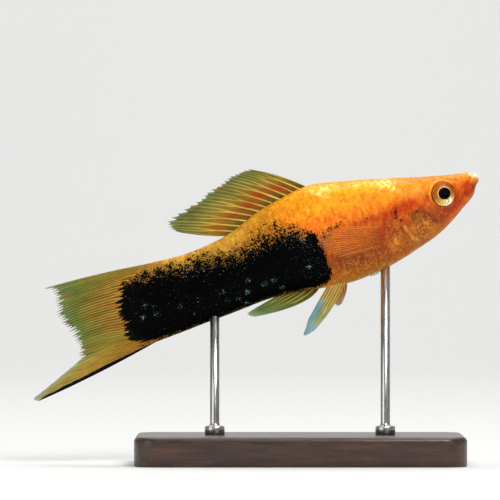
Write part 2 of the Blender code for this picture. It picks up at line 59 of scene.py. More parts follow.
# The stand: length, width and height of its base, the base's rounding, and how far the rods are from its
# middle
BASE_SIZE = (56.0, 30.0, 5.0)
BASE_CORNER = 4.0
BASE_EDGE = 0.8
BASE_FOOT = 0.25  # the slope at the base's lower edge
ROD_AT = 14.5
ROD_RADIUS = 0.8
# The collar at a rod's foot: radius and height above the base
COLLAR = (
    (0, 0), (1.7, 0), (1.7, 1.2), (1.62, 1.4), (1.45, 1.5), (1.0, 1.56), (0.85, 1.7), (ROD_RADIUS, 2.0),
)

# The body at stations along it: distance behind the snout, heights of the back and of the belly, half of
# the width, height of the widest level, and fullness of the section above and below that level
STATIONS = (
    (0.0, 0.00, 0.00, 0.00, 0.0, 2.2, 2.2),
    (0.4, 0.50, -0.62, 0.85, 0.0, 2.3, 2.2),
    (1.0, 0.92, -1.22, 1.35, -0.1, 2.4, 2.2),
    (1.8, 1.62, -2.18, 1.80, -0.2, 2.6, 2.1),
    (3.0, 2.10, -3.02, 2.30, -0.3, 2.7, 2.0),
    (4.6, 2.52, -3.95, 2.92, -0.5, 2.8, 2.0),
    (6.7, 3.08, -5.25, 3.52, -0.7, 2.8, 1.95),
    (9.5, 3.86, -6.55, 4.02, -0.6, 2.6, 1.95),
    (13.0, 4.96, -7.54, 4.34, -0.3, 2.4, 2.0),
    (17.5, 6.38, -8.54, 4.42, 0.1, 2.2, 2.0),
    (22.5, 7.78, -9.14, 4.38, 0.4, 2.1, 1.95),
    (28.2, 8.95, -9.00, 4.12, 0.6, 2.0, 1.9),
    (33.0, 8.45, -8.05, 3.68, 0.4, 1.95, 1.9),
    (38.0, 7.42, -7.16, 3.18, 0.1, 1.95, 1.95),
    (43.0, 5.88, -7.08, 2.74, -0.4, 2.0, 2.0),
    (48.0, 5.20, -7.18, 2.38, -0.8, 2.0, 2.0),
    (53.0, 5.24, -7.24, 2.00, -1.0, 2.0, 2.0),
    (58.0, 5.76, -7.32, 1.50, -0.9, 2.0, 2.0),
    (62.0, 5.80, -7.24, 1.00, -0.8, 2.0, 2.0),
    (66.0, 5.00, -6.70, 0.55, -0.8, 2.0, 2.0),
)
# The fleshy bulb at the tip of the lower jaw: middle (s, y, h) and reaches along these
CHIN = (0.60, 0.0, 0.26)
CHIN_REACH = (0.64, 0.95, 0.70)
BODY_END = 65.6
SKIN_DEPTH = 0.07  # how far the skin lies inside the solids
BODY_START = 0.02
HEAD_RINGS = 200
HEAD_END = 19.0
TRUNK_RINGS = 190
SKIN_SIDES = 240

# Marks on the head, as (s, h) seen from the side
EYE_S = 6.72
EYE_H = -0.36
EYE_RADIUS = 2.1
EYE_RIM_OUT = 3.3
EYE_DEPTH = 1.6
EYE_FORWARD = math.radians(9.0)
EYE_NARROW = 0.93  # the eye's length along the fish, as a share of its height
PUPIL_AT = (-0.25, 0.03)  # the pupil's middle, behind and above the eye's
PUPIL_RADIUS = 1.02
MOUTH = ((0.2, 2.5), (0.95, 1.5), (1.24, 0.91), (1.7, 0.4), (2.25, -0.1))
LOWER_LIP = ((0.48, 0.62), (0.78, 0.36), (1.35, -0.05), (1.95, -0.42))
UPPER_LIP = ((1.50, 1.78), (1.60, 1.1), (2.0, 0.52), (2.45, 0.15))
NOSTRILS = ((2.82, 1.2), (3.9, 1.24))
GILL_EDGE = (
    (10.6, 6.6), (12.3, 4.4), (14.6, 0.6), (16.5, -1.9),
    (17.6, -4.0), (17.0, -6.2), (14.6, -7.3), (12.2, -9.2),
)
CHEEK_EDGE = ((9.6, 1.6), (10.1, -1.0), (12.0, -1.6), (13.4, -2.9), (13.8, -4.6), (12.9, -6.2), (11.0, -6.9))
CHEEK_FOLDS = (
    ((10.9, -1.8), (10.3, -3.2), (8.7, -4.8)),
    ((9.4, -2.2), (8.6, -3.3), (7.2, -4.3)),
    ((15.4, -0.8), (15.2, -2.2), (15.3, -3.6), (14.7, -5.0)),
)
CRESCENT = ((14.7, -3.4), (14.4, -4.6), (13.9, -5.6), (13.1, -6.2))
JAW_FOLD = ((2.3, -0.2), (3.2, -1.5), (4.0, -2.9), (4.6, -4.4))
PORES = 9

SCALE_STEP = 0.9
SCALE_LENGTH = 2.75
SCALE_ROWS = 11
SCALE_FIRST = 7.4
SCALE_LAST = 58.0
SCALE_SUNK = 0.09
SCALE_LIFT = 0.025
SCALE_THICK = 0.03
SCALE_HOLLOW = 0.03  # how far the middle of a scale's under side lies deeper than its rim
SCALE_SECTORS = 16
SCALE_RINGS = 3
SCALE_SEED = 31
MAP_LENGTH = 68.0  # how much of the fish's length the skin's map spans
PATCH = 0.003  # of the skin's map that each scale takes its colours from
FLOW_LENGTH = 6.0  # how far the fins' streaks run along the rays for each ray that they are wide

# Where the body ends and the tail's rays begin, and the reach over which flesh thins into fin
TAIL_ROOT = (
    (58.4, 7.2), (60.6, 4.9), (63.3, 3.2), (64.5, 0.5), (64.7, -2.0), (64.3, -4.6), (62.5, -6.4),
    (60.2, -8.2),
)
TAIL_THINS = (-3.2, 1.0)

# The black patch, as (s, h) seen from the side: its outline, the toothed edge that ends it on the tail, and
# how far black dots are scattered above it at places along the fish
BLACK = (
    (28.9, -0.2), (28.9, 0.7), (30.9, 1.6), (33.3, 2.5), (35.9, 2.8), (38.3, 2.6), (40.6, 2.3), (42.7, 1.8),
    (44.7, 2.0), (46.8, 2.7), (49.4, 3.2), (52.5, 3.0), (55.3, 4.1), (58.2, 4.0), (60.3, 4.1), (62.2, 4.1),
    (64.2, 4.2), (67.5, 2.0), (68.0, -5.0), (65.8, -7.4), (62.7, -6.9), (60.5, -7.0), (56.0, -7.1),
    (48.0, -6.95), (41.2, -6.85), (37.0, -7.1), (34.5, -7.6), (32.0, -8.0), (30.3, -7.95), (29.3, -7.1),
    (28.8, -6.0), (29.0, -4.6), (29.1, -2.6), (29.0, -1.0),
)
BLACK_REAR = (
    (61.8, 5.4), (63.1, 4.2), (64.1, 2.4), (64.9, 1.0), (65.1, -0.4), (65.1, -1.8), (65.2, -3.4),
    (65.2, -4.8), (64.3, -6.2), (61.4, -7.3),
)
PEPPER = (
    (28.0, 0.4), (31.0, 1.2), (33.2, 2.3), (35.5, 3.5), (37.0, 3.4), (39.5, 2.9), (42.0, 2.0), (44.7, 1.3),
    (47.0, 2.0), (50.0, 2.4), (52.0, 1.6), (55.0, 1.2), (60.0, 0.7), (65.0, 0.3),
)
DOTS = (  # single groups of black dots: place and share of the skin that they cover
    (15.3, 0.2, 0.58), (15.3, -0.5, 0.75), (16.1, -0.2, 0.50), (15.4, -1.2, 0.55), (14.8, -2.0, 0.48),
    (13.4, -1.4, 0.52), (12.1, -1.5, 0.48), (24.8, 1.0, 0.5), (25.6, 0.8, 0.6), (26.9, 0.6, 0.6),
    (27.8, 0.5, 0.6), (20.3, 0.3, 0.42), (21.0, 0.4, 0.4), (28.3, -0.2, 0.5), (27.2, -0.2, 0.45),
)
PALE_SMEAR = (28.7, -1.3)  # a grey place where the black patch's front edge is thin
ROSETTES = (  # gatherings of green flecks in the black: place and strength
    (32.2, -4.2, 1.0), (40.4, -4.3, 1.0), (43.5, -4.6, 1.0), (42.7, -2.8, 0.9), (37.7, -5.8, 0.9),
    (38.8, -4.3, 0.9), (47.5, -3.2, 0.85), (45.2, -5.2, 0.8), (47.3, -4.9, 0.7), (44.3, -6.3, 0.8),
    (60.6, -0.8, 0.8), (61.6, -2.6, 0.8), (59.5, -2.9, 0.9), (52.0, -3.1, 0.6), (55.2, -3.1, 0.7),
    (53.3, -5.1, 0.6), (49.0, -6.3, 0.6), (59.4, -1.6, 0.6),
)

# The flesh's colour from the belly, 0, to the back, 1; its dark band low on the flank is partly painted shade
FLESH_WITH_BELLY_SHADE = (
    (0.0, "c89444"), (0.04, "c88230"), (0.1, "b8641e"), (0.2, "984410"), (0.3, "9c4010"), (0.42, "bc561a"),
    (0.52, "dc7022"), (0.62, "f28420"), (0.76, "f89614"), (0.9, "f49c10"), (1.0, "eca414"),
)
WARMER = (1.0, 0.96, 0.8)  # shares of red, green and blue, which make up for the lamps' cool light
# The iris's colour from its lowest point, 0, to its highest, 1
IRIS = (
    (0.0, "f8dc94"), (0.14, "f0cc74"), (0.3, "cc9438"), (0.48, "a0601c"), (0.72, "aa5612"), (1.0, "d0620c"),
)
# Flushes of other colours, painted shade and highlights among them, laid on in order: colour, strength,
# middle (s, h), reach along and across, and the tilt of the long way in degrees
FLUSHES = (
    ("b87418", 0.50, (37.5, 5.6), (4.5, 2.6), -15),
    ("f47a1e", 0.75, (28.6, 1.9), (4.0, 1.0), 0),
    ("fcb21c", 0.70, (27.0, 4.6), (3.5, 1.1), 8),
    ("fccc1c", 0.60, (18.5, 5.2), (4.0, 0.8), 14),
    ("faa808", 0.40, (21.0, 6.2), (8.0, 1.1), 14),
    ("e07c00", 0.70, (9.0, 3.2), (4.5, 0.9), 14),
    ("f5cc14", 0.60, (25.4, 7.2), (2.4, 0.7), 14),
    ("aa3000", 1.00, (9.4, 0.0), (0.8, 1.0), 0),
    ("b0380c", 0.80, (4.8, 0.4), (0.8, 0.7), 0),
    ("d87c20", 0.80, (4.2, 1.6), (1.9, 0.8), 15),
    # Painted shadow: dark red along the top edge of the right pectoral fin, where the fin shades the flank
    ("b4380e", 0.90, (19.8, -0.3), (4.4, 0.75), 4),
    ("dc661e", 0.60, (24.0, -1.6), (4.0, 2.6), 0),
    ("85766a", 0.85, PALE_SMEAR, (0.45, 1.0), 10),
    ("86604c", 0.50, (26.9, -0.3), (0.6, 0.45), 0),
    ("86604c", 0.50, (24.7, -1.1), (0.5, 0.4), 0),
    ("b01c04", 0.95, (13.2, -0.1), (2.9, 1.3), 0),
    ("c03a14", 0.70, (16.0, 0.0), (2.0, 0.9), 5),
    ("a83a12", 0.80, (7.9, -2.8), (2.4, 0.8), 36),
    ("bc300c", 0.90, (2.5, -0.2), (1.3, 0.9), 0),
    ("e06a24", 0.55, (4.1, -0.4), (1.0, 1.1), 0),
    ("b42c04", 0.90, (4.7, -2.5), (2.1, 1.0), -37),
    ("b06820", 0.75, (12.0, -4.2), (2.6, 2.0), -20),
    ("7a3a08", 0.85, (11.9, -2.6), (1.1, 1.4), 0),
    ("701400", 0.95, (9.9, -3.4), (1.9, 0.6), 48),
    ("801c0c", 0.75, (10.6, -2.4), (0.5, 0.4), 40),
    ("dca444", 0.70, (11.1, -4.1), (1.0, 0.32), 65),
    ("7a5c1a", 0.55, (12.6, -2.2), (0.8, 0.6), 30),
    ("d4682a", 0.85, (4.8, -4.0), (3.0, 0.75), -31),
    ("c07c20", 0.80, (10.9, -6.0), (2.0, 0.6), -28),
    ("ecac48", 0.80, (17.2, -5.4), (1.1, 1.2), 0),
    ("d48c34", 0.65, (13.8, -4.5), (0.9, 0.8), 0),
    ("a03c0c", 0.65, (16.2, -2.4), (0.8, 1.8), 20),
    ("9c3408", 0.50, (14.9, -3.0), (0.4, 1.2), 10),
    ("9c4a12", 0.70, (19.0, -7.4), (7.0, 1.0), -6),
    ("842800", 0.60, (19.2, -6.5), (1.2, 0.8), 0),
    ("8a2a04", 0.70, (24.0, -5.6), (3.8, 1.2), 0),
    ("8e3c1a", 0.80, (1.1, -0.8), (1.0, 0.35), -35),
    # Painted highlights: white on the top of the lower lip's bulb and on the tip of the chin
    ("fffcf8", 1.00, (0.42, 0.86), (1.00, 0.36), 38),
    ("fff4e4", 0.90, (0.00, 0.30), (0.22, 0.55), 0),
    ("dc8438", 0.95, (0.78, 0.02), (0.70, 0.46), 0),
    ("dc9c3c", 0.95, (1.75, 1.75), (0.60, 0.34), 20),
    # Painted highlight: white on the front of the upper lip
    ("fff0c8", 0.90, (1.28, 1.4), (0.38, 0.18), 80),
)
# Painted highlights, pale yellow, where the wet back shines: middle, reach along and across, and tilt
PAINTED_HIGHLIGHTS = (
    ((15.4, 4.7), (1.7, 0.8), 14), ((14.4, 3.6), (1.2, 0.4), 50), ((25.2, 7.3), (2.2, 0.5), 14),
    ((26.2, 6.6), (1.6, 0.35), 38), ((19.5, 6.0), (2.0, 0.35), 14),
)


def linear(code):
    """A colour written as rrggbb, as Blender's linear red, green, blue and alpha."""
    parts = [int(code[i : i + 2], 16) / 255 for i in (0, 2, 4)]
    return (*(c / 12.92 if c <= 0.04045 else ((c + 0.055) / 1.055) ** 2.4 for c in parts), 1.0)


def rgb(code):
    """A colour written as rrggbb, as linear red, green and blue."""
    return np.array(linear(code)[:3])


# Curves and places


def spline(knots, values, at):
    """A natural cubic spline through rows of values, read at each number of at."""
    knots = np.asarray(knots, float)
    values = np.asarray(values, float)
    at = np.asarray(at, float)
    steps = np.diff(knots)
    slopes = np.diff(values, axis=0) / steps[:, None]
    system = np.eye(len(knots))
    right = np.zeros_like(values)
    for i in range(1, len(knots) - 1):
        system[i, i - 1 : i + 2] = steps[i - 1], 2 * (steps[i - 1] + steps[i]), steps[i]
        right[i] = 6 * (slopes[i] - slopes[i - 1])
    bends = np.linalg.solve(system, right)
    i = np.clip(np.searchsorted(knots, at) - 1, 0, len(knots) - 2)
    after = ((at - knots[i]) / steps[i])[:, None]
    before = 1 - after
    curving = (before**3 - before) * bends[i] + (after**3 - after) * bends[i + 1]
    return before * values[i] + after * values[i + 1] + curving * (steps[i] ** 2)[:, None] / 6


def curve_through(points, count):
    """Evenly spread points on a smooth curve through the given ones."""
    points = np.asarray(points, float)
    along = np.concatenate([[0], np.cumsum(np.linalg.norm(np.diff(points, axis=0), axis=1))])
    return spline(along, points, np.linspace(0, along[-1], count))


def across(points, shares):
    """Points on a smooth curve whose given points are evenly spaced from share 0 to share 1."""
    return spline(np.linspace(0, 1, len(points)), points, shares)


def smooth(low, high, x):
    """0 below low, 1 above high, and a soft step between."""
    t = np.clip((x - low) / (high - low), 0, 1)
    return t * t * (3 - 2 * t)


def bump(x, width):
    """1 at x 0, falling off softly to either side."""
    return np.exp(-((x / width) ** 2))


def blob(s, h, middle, radii, tilt=0.0):
    """A soft spot of 1 at its middle, with radii along and across a direction tilted by degrees."""
    turn = math.radians(tilt)
    ds, dh = s - middle[0], h - middle[1]
    a = (ds * math.cos(turn) + dh * math.sin(turn)) / radii[0]
    b = (dh * math.cos(turn) - ds * math.sin(turn)) / radii[1]
    return np.exp(-(a * a + b * b))


def side_of_curve(s, h, curve, closed=False):
    """Distance from points (s, h) to a polyline, signed: positive on the left of the way it runs."""
    curve = np.asarray(curve, float)
    ends = np.roll(curve, -1, axis=0) if closed else curve[1:]
    starts = curve if closed else curve[:-1]
    best = np.full(s.shape, 1e9)
    signed = np.full(s.shape, 1e9)
    for a, b in zip(starts, ends):
        way = b - a
        length = np.hypot(*way)
        t = np.clip(((s - a[0]) * way[0] + (h - a[1]) * way[1]) / length**2, 0, 1)
        ds, dh = s - a[0] - t * way[0], h - a[1] - t * way[1]
        gap = np.hypot(ds, dh)
        left = np.sign(way[0] * dh - way[1] * ds)
        nearer = gap < best - 1e-9
        best = np.where(nearer, gap, best)
        signed = np.where(nearer, gap * left, signed)
    return signed


def inside(s, h, outline):
    """True where points (s, h) lie inside a closed outline."""
    found = np.zeros(s.shape, bool)
    for (s0, h0), (s1, h1) in zip(outline, outline[1:] + outline[:1]):
        crosses = (h0 > h) != (h1 > h)
        at = s0 + (h - h0) * (s1 - s0) / (h1 - h0 if h1 != h0 else 1e-9)
        found ^= crosses & (s < at)
    return found


def placed(points):
    """World places, in metres, of points (s, y, h) in millimetres."""
    points = np.asarray(points, float)
    flat = points.reshape(-1, 3).copy()
    behind = np.clip((flat[:, 0] - SWING_STARTS) / (SWORD_END - SWING_STARTS), 0, None)
    flat[:, 1] += SWING * behind**2
    x = SNOUT_AHEAD - flat[:, 0] * math.cos(PITCH) - flat[:, 2] * math.sin(PITCH)
    z = SNOUT_UP - flat[:, 0] * math.sin(PITCH) + flat[:, 2] * math.cos(PITCH)
    return np.column_stack([x, flat[:, 1], z]) * MM


GILL_CURVE = curve_through(GILL_EDGE, 60)
TAIL_CURVE = curve_through(TAIL_ROOT, 40)


# Meshes


def added(name, data):
    """A new object in the scene."""
    obj = bpy.data.objects.new(name, data)
    bpy.context.scene.collection.objects.link(obj)
    return obj


def mesh_object(name, points, faces, material, marks=(), uvs=None):
    """A smooth-shaded piece that rides with the model. marks are named numbers or vectors, one a point."""
    mesh = bpy.data.meshes.new(name)
    if isinstance(faces, np.ndarray):
        faces = faces.tolist()
    mesh.from_pydata(np.asarray(points).tolist(), [], faces)
    for mark, values in dict(marks).items():
        values = np.asarray(values, np.float32)
        kind, field = ("FLOAT_VECTOR", "vector") if values.ndim == 2 else ("FLOAT", "value")
        mesh.attributes.new(mark, kind, "POINT").data.foreach_set(field, values.ravel())
    if uvs is not None:
        corners = np.empty(len(mesh.loops), np.int32)
        mesh.loops.foreach_get("vertex_index", corners)
        layer = mesh.uv_layers.new(name="OFBake")
        layer.data.foreach_set("uv", np.asarray(uvs, np.float32)[corners].ravel())
    mesh.shade_smooth()
    mesh.materials.append(material)
    obj = added(name, mesh)
    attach(obj, "root")
    return obj


def section(s):
    """Back, belly, half width, widest level and the two fullnesses of the body at each s."""
    table = np.array(STATIONS)
    return spline(np.sqrt(table[:, 0]), table[:, 1:], np.sqrt(s)).T


def ring_faces(rings, sides, first=0):
    """Faces between rings that are closed on themselves and follow each other from a first point on."""
    lows = [first + ring * sides for ring in range(rings - 1)]
    steps = [(k, (k + 1) % sides) for k in range(sides)]
    return [(low + k, low + j, low + sides + j, low + sides + k) for low in lows for k, j in steps]


def half_ring(s, count):
    """Evenly spaced (y, h) down one flank from back to belly at s, with y positive."""
    back, belly, half, level, full_above, full_below = section(np.array([s]))[:, 0]
    angles = np.linspace(0, math.pi, 361)
    above = angles <= math.pi / 2
    power = 2 / np.where(above, full_above, full_below)
    reach = np.where(above, back - level, level - belly)
    h = level + reach * np.sign(np.cos(angles)) * np.abs(np.cos(angles)) ** power
    y = half * np.abs(np.sin(angles)) ** power
    y[0] = y[-1] = 0
    along = np.concatenate([[0], np.cumsum(np.hypot(np.diff(y), np.diff(h)))])
    even = np.linspace(0, along[-1], count)
    return np.interp(even, along, y), np.interp(even, along, h)


def grid_normals(grid):
    """Outward directions of a grid of rings that closes on itself round each ring."""
    round_way = np.roll(grid, -1, axis=1) - np.roll(grid, 1, axis=1)
    long_way = np.gradient(grid, axis=0)
    normal = np.cross(round_way, long_way)
    length = np.linalg.norm(normal, axis=2)[:, :, None]
    return normal / np.maximum(length, 1e-12)


def away_from(s, h, curve):
    """Distance from points (s, h) to a smooth curve."""
    return np.abs(side_of_curve(s, h, curve_through(curve, 24)))


def mouth_relief(s, h):
    """Lips as two rolls and the line of the mouth between them."""
    fade = 1 - smooth(1.6, 2.5, s)
    lower = bump(away_from(s, h, LOWER_LIP), 0.44) * (0.14 + 0.14 * fade)
    upper = bump(away_from(s, h, UPPER_LIP), 0.38) * (0.16 + 0.30 * fade)
    line = 0.34 * bump(away_from(s, h, MOUTH), 0.11) * (0.35 + 0.65 * fade)
    return np.maximum(lower, upper) - line


def gill_relief(s, h):
    """The gill cover's free edge, the cheek's edge and the creases on the cheek."""
    behind = side_of_curve(s, h, GILL_CURVE)
    reach = smooth(2.2, -0.6, h) * smooth(-7.6, -5.6, h)
    edge = 0.12 * np.where(behind < 0, bump(behind, 1.1), 0)
    groove = -0.20 * np.where(behind >= 0, bump(behind - 0.1, 0.45), bump(behind, 0.06))
    cheek = side_of_curve(s, h, curve_through(CHEEK_EDGE, 50))
    plate = -0.07 * bump(cheek, 0.14) + 0.05 * bump(cheek + 0.35, 0.3)
    creases = sum(0.05 * bump(away_from(s, h, fold), 0.13) for fold in CHEEK_FOLDS)
    return (edge + groove) * reach + (plate - creases) * smooth(-7.6, -6.0, h)


def throat_relief(s, h, y, belly):
    """The seam between the branches of the lower jaw and the folds beside it."""
    low = bump(h - belly, 1.6) * smooth(3.8, 5.5, s) * smooth(15.0, 12.0, s)
    keel = -0.10 * bump(y, 0.25)
    folds = -0.10 * bump(np.abs(y) - 1.25 - 0.05 * (s - 5), 0.16)
    return low * (keel + folds)


def from_eye(s, h):
    """Distance from the eye's middle, counted as on the eye's upright axis."""
    return np.hypot((s - EYE_S) / EYE_NARROW, h - EYE_H)


def orbit_relief(s, h):
    """The pit that the eye lies in, the fleshy ring round it, and the small pores behind that."""
    r = from_eye(s, h)
    relief = 0.17 * bump(r - 2.36, 0.24) - 0.05 * bump(r - 2.85, 0.14) - 1.35 * smooth(2.16, 1.9, r)
    for k in range(PORES):
        turn = math.radians(-150 + 300 * k / (PORES - 1))
        place = (EYE_S + 3.15 * math.cos(turn), EYE_H + 3.0 * math.sin(turn))
        relief -= 0.07 * bump(np.hypot(s - place[0], h - place[1]), 0.1)
    return relief


def head_relief(points, belly):
    """How far the skin stands out or in, in millimetres, at points (s, y, h) of the smooth body."""
    s, y, h = points[..., 0], points[..., 1], points[..., 2]
    relief = mouth_relief(s, h) * smooth(4.5, 3.2, s)
    relief += gill_relief(s, h) * smooth(7.0, 9.0, s) * smooth(22.0, 19.0, s)
    relief += throat_relief(s, h, y, belly)
    relief -= 0.08 * bump(away_from(s, h, JAW_FOLD), 0.14) * smooth(5.2, 3.8, s)
    relief += 0.13 * bump(h - belly, 0.9) * smooth(0.9, 1.6, s) * smooth(9.0, 4.0, s)
    flank = smooth(1.2, 2.2, np.abs(y))
    relief += flank * orbit_relief(s, h)
    relief += 0.10 * flank * blob(s, h, (6.6, -2.9), (2.6, 0.7), -20)
    relief -= 0.10 * flank * blob(s, h, (4.2, -0.9), (0.9, 0.5), -50)
    for place in NOSTRILS:
        away = np.hypot(s - place[0], h - place[1])
        pit = 0.05 * bump(away - 0.3, 0.12) - 0.22 * bump(away, 0.18)
        relief += smooth(0.6, 1.1, np.abs(y)) * pit
    return relief


def waves(s, y, h):
    """Slow unevenness of flesh, in millimetres."""
    swell = np.sin(0.71 * s + 0.5 * h) * np.sin(0.53 * h + 0.9 * y + 1.3)
    ripple = np.sin(1.9 * s - 1.1 * h + 0.4) * np.sin(1.3 * h + 1.7 * y)
    return 0.03 * swell + 0.012 * ripple


class Skin:
    """The body's finished surface, which scales and markings are laid out on."""

    def __init__(self):
        head = np.linspace(math.sqrt(BODY_START), math.sqrt(HEAD_END), HEAD_RINGS) ** 2
        trunk = np.linspace(HEAD_END, BODY_END, TRUNK_RINGS + 1)[1:]
        self.s = np.concatenate([head, trunk])
        half = SKIN_SIDES // 2
        rings = []
        for s in self.s:
            y, h = half_ring(s, half + 1)
            ring_y = np.concatenate([-y, y[-2:0:-1]])
            ring_h = np.concatenate([h, h[-2:0:-1]])
            rings.append(np.column_stack([np.full(SKIN_SIDES, s), ring_y, ring_h]))
        base = np.array(rings)
        s, h = base[..., 0], base[..., 2]
        thin = smooth(*TAIL_THINS, side_of_curve(s, h, TAIL_CURVE))
        base[..., 1] *= 1 - 0.96 * thin
        relief = head_relief(base, section(self.s)[1][:, None]) + waves(s, base[..., 1], h)
        furrow = -0.06 * bump(h + 0.8, 0.5) * smooth(30, 42, s)
        relief = (relief + furrow - SKIN_DEPTH) * (1 - thin)
        normal = grid_normals(base)
        off = (base - CHIN) / CHIN_REACH
        reach = np.linalg.norm(off, axis=2)[:, :, None]
        base = base + (base - CHIN) * (np.maximum(1 / np.maximum(reach, 0.05), 1) - 1)
        self.grid = base + normal * relief[:, :, None]
        self.normal = grid_normals(self.grid)

    def at(self, s, w):
        """Places and outward directions at s and w, read off the grid."""
        ring = np.interp(s, self.s, np.arange(len(self.s)))
        side = np.mod(w, 2.0) / 2.0 * SKIN_SIDES
        r0 = np.clip(ring.astype(int), 0, len(self.s) - 2)
        c0 = side.astype(int) % SKIN_SIDES
        r, c = (ring - r0)[..., None], (side - side.astype(int))[..., None]
        c1 = (c0 + 1) % SKIN_SIDES
        found = []
        for field in (self.grid, self.normal):
            low = field[r0, c0] * (1 - c) + field[r0, c1] * c
            high = field[r0 + 1, c0] * (1 - c) + field[r0 + 1, c1] * c
            found.append(low * (1 - r) + high * r)
        return found


def ink_marks(s, h):
    """Marks of the black patch: share of the skin covered, place before its rear edge, and painted pale glints
    of light.
    """
    edge = np.abs(side_of_curve(s, h, BLACK, closed=True))
    depth = np.where(inside(s, h, BLACK), edge, -edge)
    ragged = 0.22 * np.sin(2.3 * s + 0.9 * h) + 0.16 * np.sin(5.1 * s - 3.7 * h + 1.0)
    depth = depth + ragged * smooth(-6.0, -4.0, h) * smooth(61.0, 58.0, s)
    upper = smooth(-1.8, 1.2, h) * smooth(29.5, 31.5, s) * smooth(64.0, 61.5, s)
    scatter = 0.25 + 1.15 * upper * np.interp(s, *zip(*PEPPER))
    outer = 0.6 * np.clip(1 + depth / scatter, 0, 1) ** 0.72
    inner = 0.6 + 0.12 * smooth(0.0, 0.7, depth) + 0.28 * smooth(0.1, 0.4 + 2.6 * upper, depth)
    ink = np.where(depth < 0, outer, inner)
    for dot_s, dot_h, share in DOTS:
        ink = np.maximum(ink, share * blob(s, h, (dot_s, dot_h), (0.5, 0.5)))
    ink = ink - 0.3 * blob(s, h, PALE_SMEAR, (0.35, 0.9), 10)
    rosette = sum(strength * blob(s, h, place, (0.62, 0.5)) for *place, strength in ROSETTES)
    # Painted glints: how thickly pale flecks of reflected light are strewn over the black
    painted_glint = 0.1 + 0.34 * bump(depth - 1.3, 1.5) * upper * smooth(60.0, 52.0, s) + 0.22 * smooth(36.0, 30.5, s)
    return {
        "ink": ink,
        "rear": -side_of_curve(s, h, curve_through(BLACK_REAR, 40)),
        "rosette": rosette,
        "painted_glint": painted_glint * smooth(-0.3, 0.2, depth),
        "veil": upper * np.where(depth < 0, bump(depth / scatter, 0.4), 1.0),
    }


def mixed(share, a, b):
    """Colours a blended into b by share."""
    return a + (b - a) * np.clip(share, 0, 1)[:, None]


def flesh_colour(points, back, belly):
    """The fish's own colour, in linear red, green and blue, before its grain and its black."""
    s, h = points[:, 0], points[:, 2]
    level = (h - belly) / np.maximum(back - belly, 0.01)
    stops = np.array([rgb(code) for _, code in FLESH_WITH_BELLY_SHADE])
    places = [place for place, _ in FLESH_WITH_BELLY_SHADE]
    colour = np.column_stack([np.interp(level, places, stops[:, i]) for i in range(3)])
    rear = mixed(smooth(0.7, 0.95, level), rgb("a87028"), rgb("d2a03c"))
    colour = mixed(smooth(31.0, 45.0, s), colour, rear)
    colour = mixed(0.85 * smooth(54.0, 59.0, s), colour, rgb("8a6424"))
    colour = mixed(0.95 * smooth(0.10, 0.04, level) * smooth(32.0, 36.0, s), colour, rgb("54420f"))
    for code, strength, middle, radii, tilt in FLUSHES:
        colour = mixed(strength * blob(s, h, middle, radii, tilt), colour, rgb(code))
    lower_head = smooth(20.0, 17.0, s) * smooth(0.62, 0.5, level)
    colour = colour * (1 - lower_head[:, None] * (0.0, 0.17, 0.5))
    # Painted light and shade on the ring round the eye: lit gold above, dark red shade below, a shaded line
    # outside
    orbit = from_eye(s, h)
    above = smooth(-0.5, 0.7, (0.5 * (s - EYE_S) + 0.87 * (h - EYE_H)) / orbit)
    colour = mixed(0.6 * above * bump(orbit - 2.45, 0.17), colour, rgb("eca840"))
    colour = mixed(0.5 * (1 - above) * bump(orbit - 2.3, 0.3), colour, rgb("a03408"))
    colour = mixed(0.2 * bump(orbit - 2.78, 0.12), colour, rgb("8e3c10"))
    # Painted shade: a dark red band just behind the gill cover's free edge, which shades the body there
    behind_gill = side_of_curve(s, h, GILL_CURVE)
    seam = bump(behind_gill - 0.95, 0.7) * smooth(0.8, -1.2, h) * smooth(-6.8, -5.0, h)
    colour = mixed(0.9 * seam, colour, rgb("9e2404"))
    crescent = bump(away_from(s, h, CRESCENT), 0.26) * (0.7 + 0.3 * np.sin(3.1 * h))
    colour = mixed(0.75 * crescent, colour, rgb("dca650"))
    # Painted shade: darker along the cheek's edge and creases, where the grooves in the skin lie in shade
    creases = sum(bump(away_from(s, h, fold), 0.2) for fold in (CHEEK_EDGE[1:],) + CHEEK_FOLDS)
    colour = mixed(0.5 * creases, colour, rgb("7a2a04"))
    # Painted shade: dark along the line of the mouth, between the lips
    line = bump(away_from(s, h, MOUTH), 0.10) * smooth(2.2, 1.0, s)
    return mixed(0.8 * line, colour, rgb("6e1c0a")) * WARMER


def markings(points):
    """Named marks at points (s, y, h): the same on skin and on scales."""
    s, h = points[:, 0], points[:, 2]
    back, belly = section(np.clip(s, BODY_START, STATIONS[-1][0]))[:2]
    grain = 0.9 * blob(s, h, (16.8, -4.4), (1.6, 2.2), 0)
    grain = np.maximum(grain, 0.8 * blob(s, h, (12.2, -5.0), (3.8, 2.2), -25))
    grain = np.maximum(grain, 0.7 * blob(s, h, (23.0, -6.6), (8.0, 1.9), -3))
    # Painted highlights: where the wet back is painted pale yellow as if shining
    painted_highlight = sum(blob(s, h, *place) for place in PAINTED_HIGHLIGHTS)
    ink = ink_marks(s, h)
    paint = mixed(0.6 * ink.pop("veil"), flesh_colour(points, back, belly), rgb("745a22"))
    return {"fish": points, "paint": paint, "grain": grain, "painted_highlight": painted_highlight, **ink}


# Materials


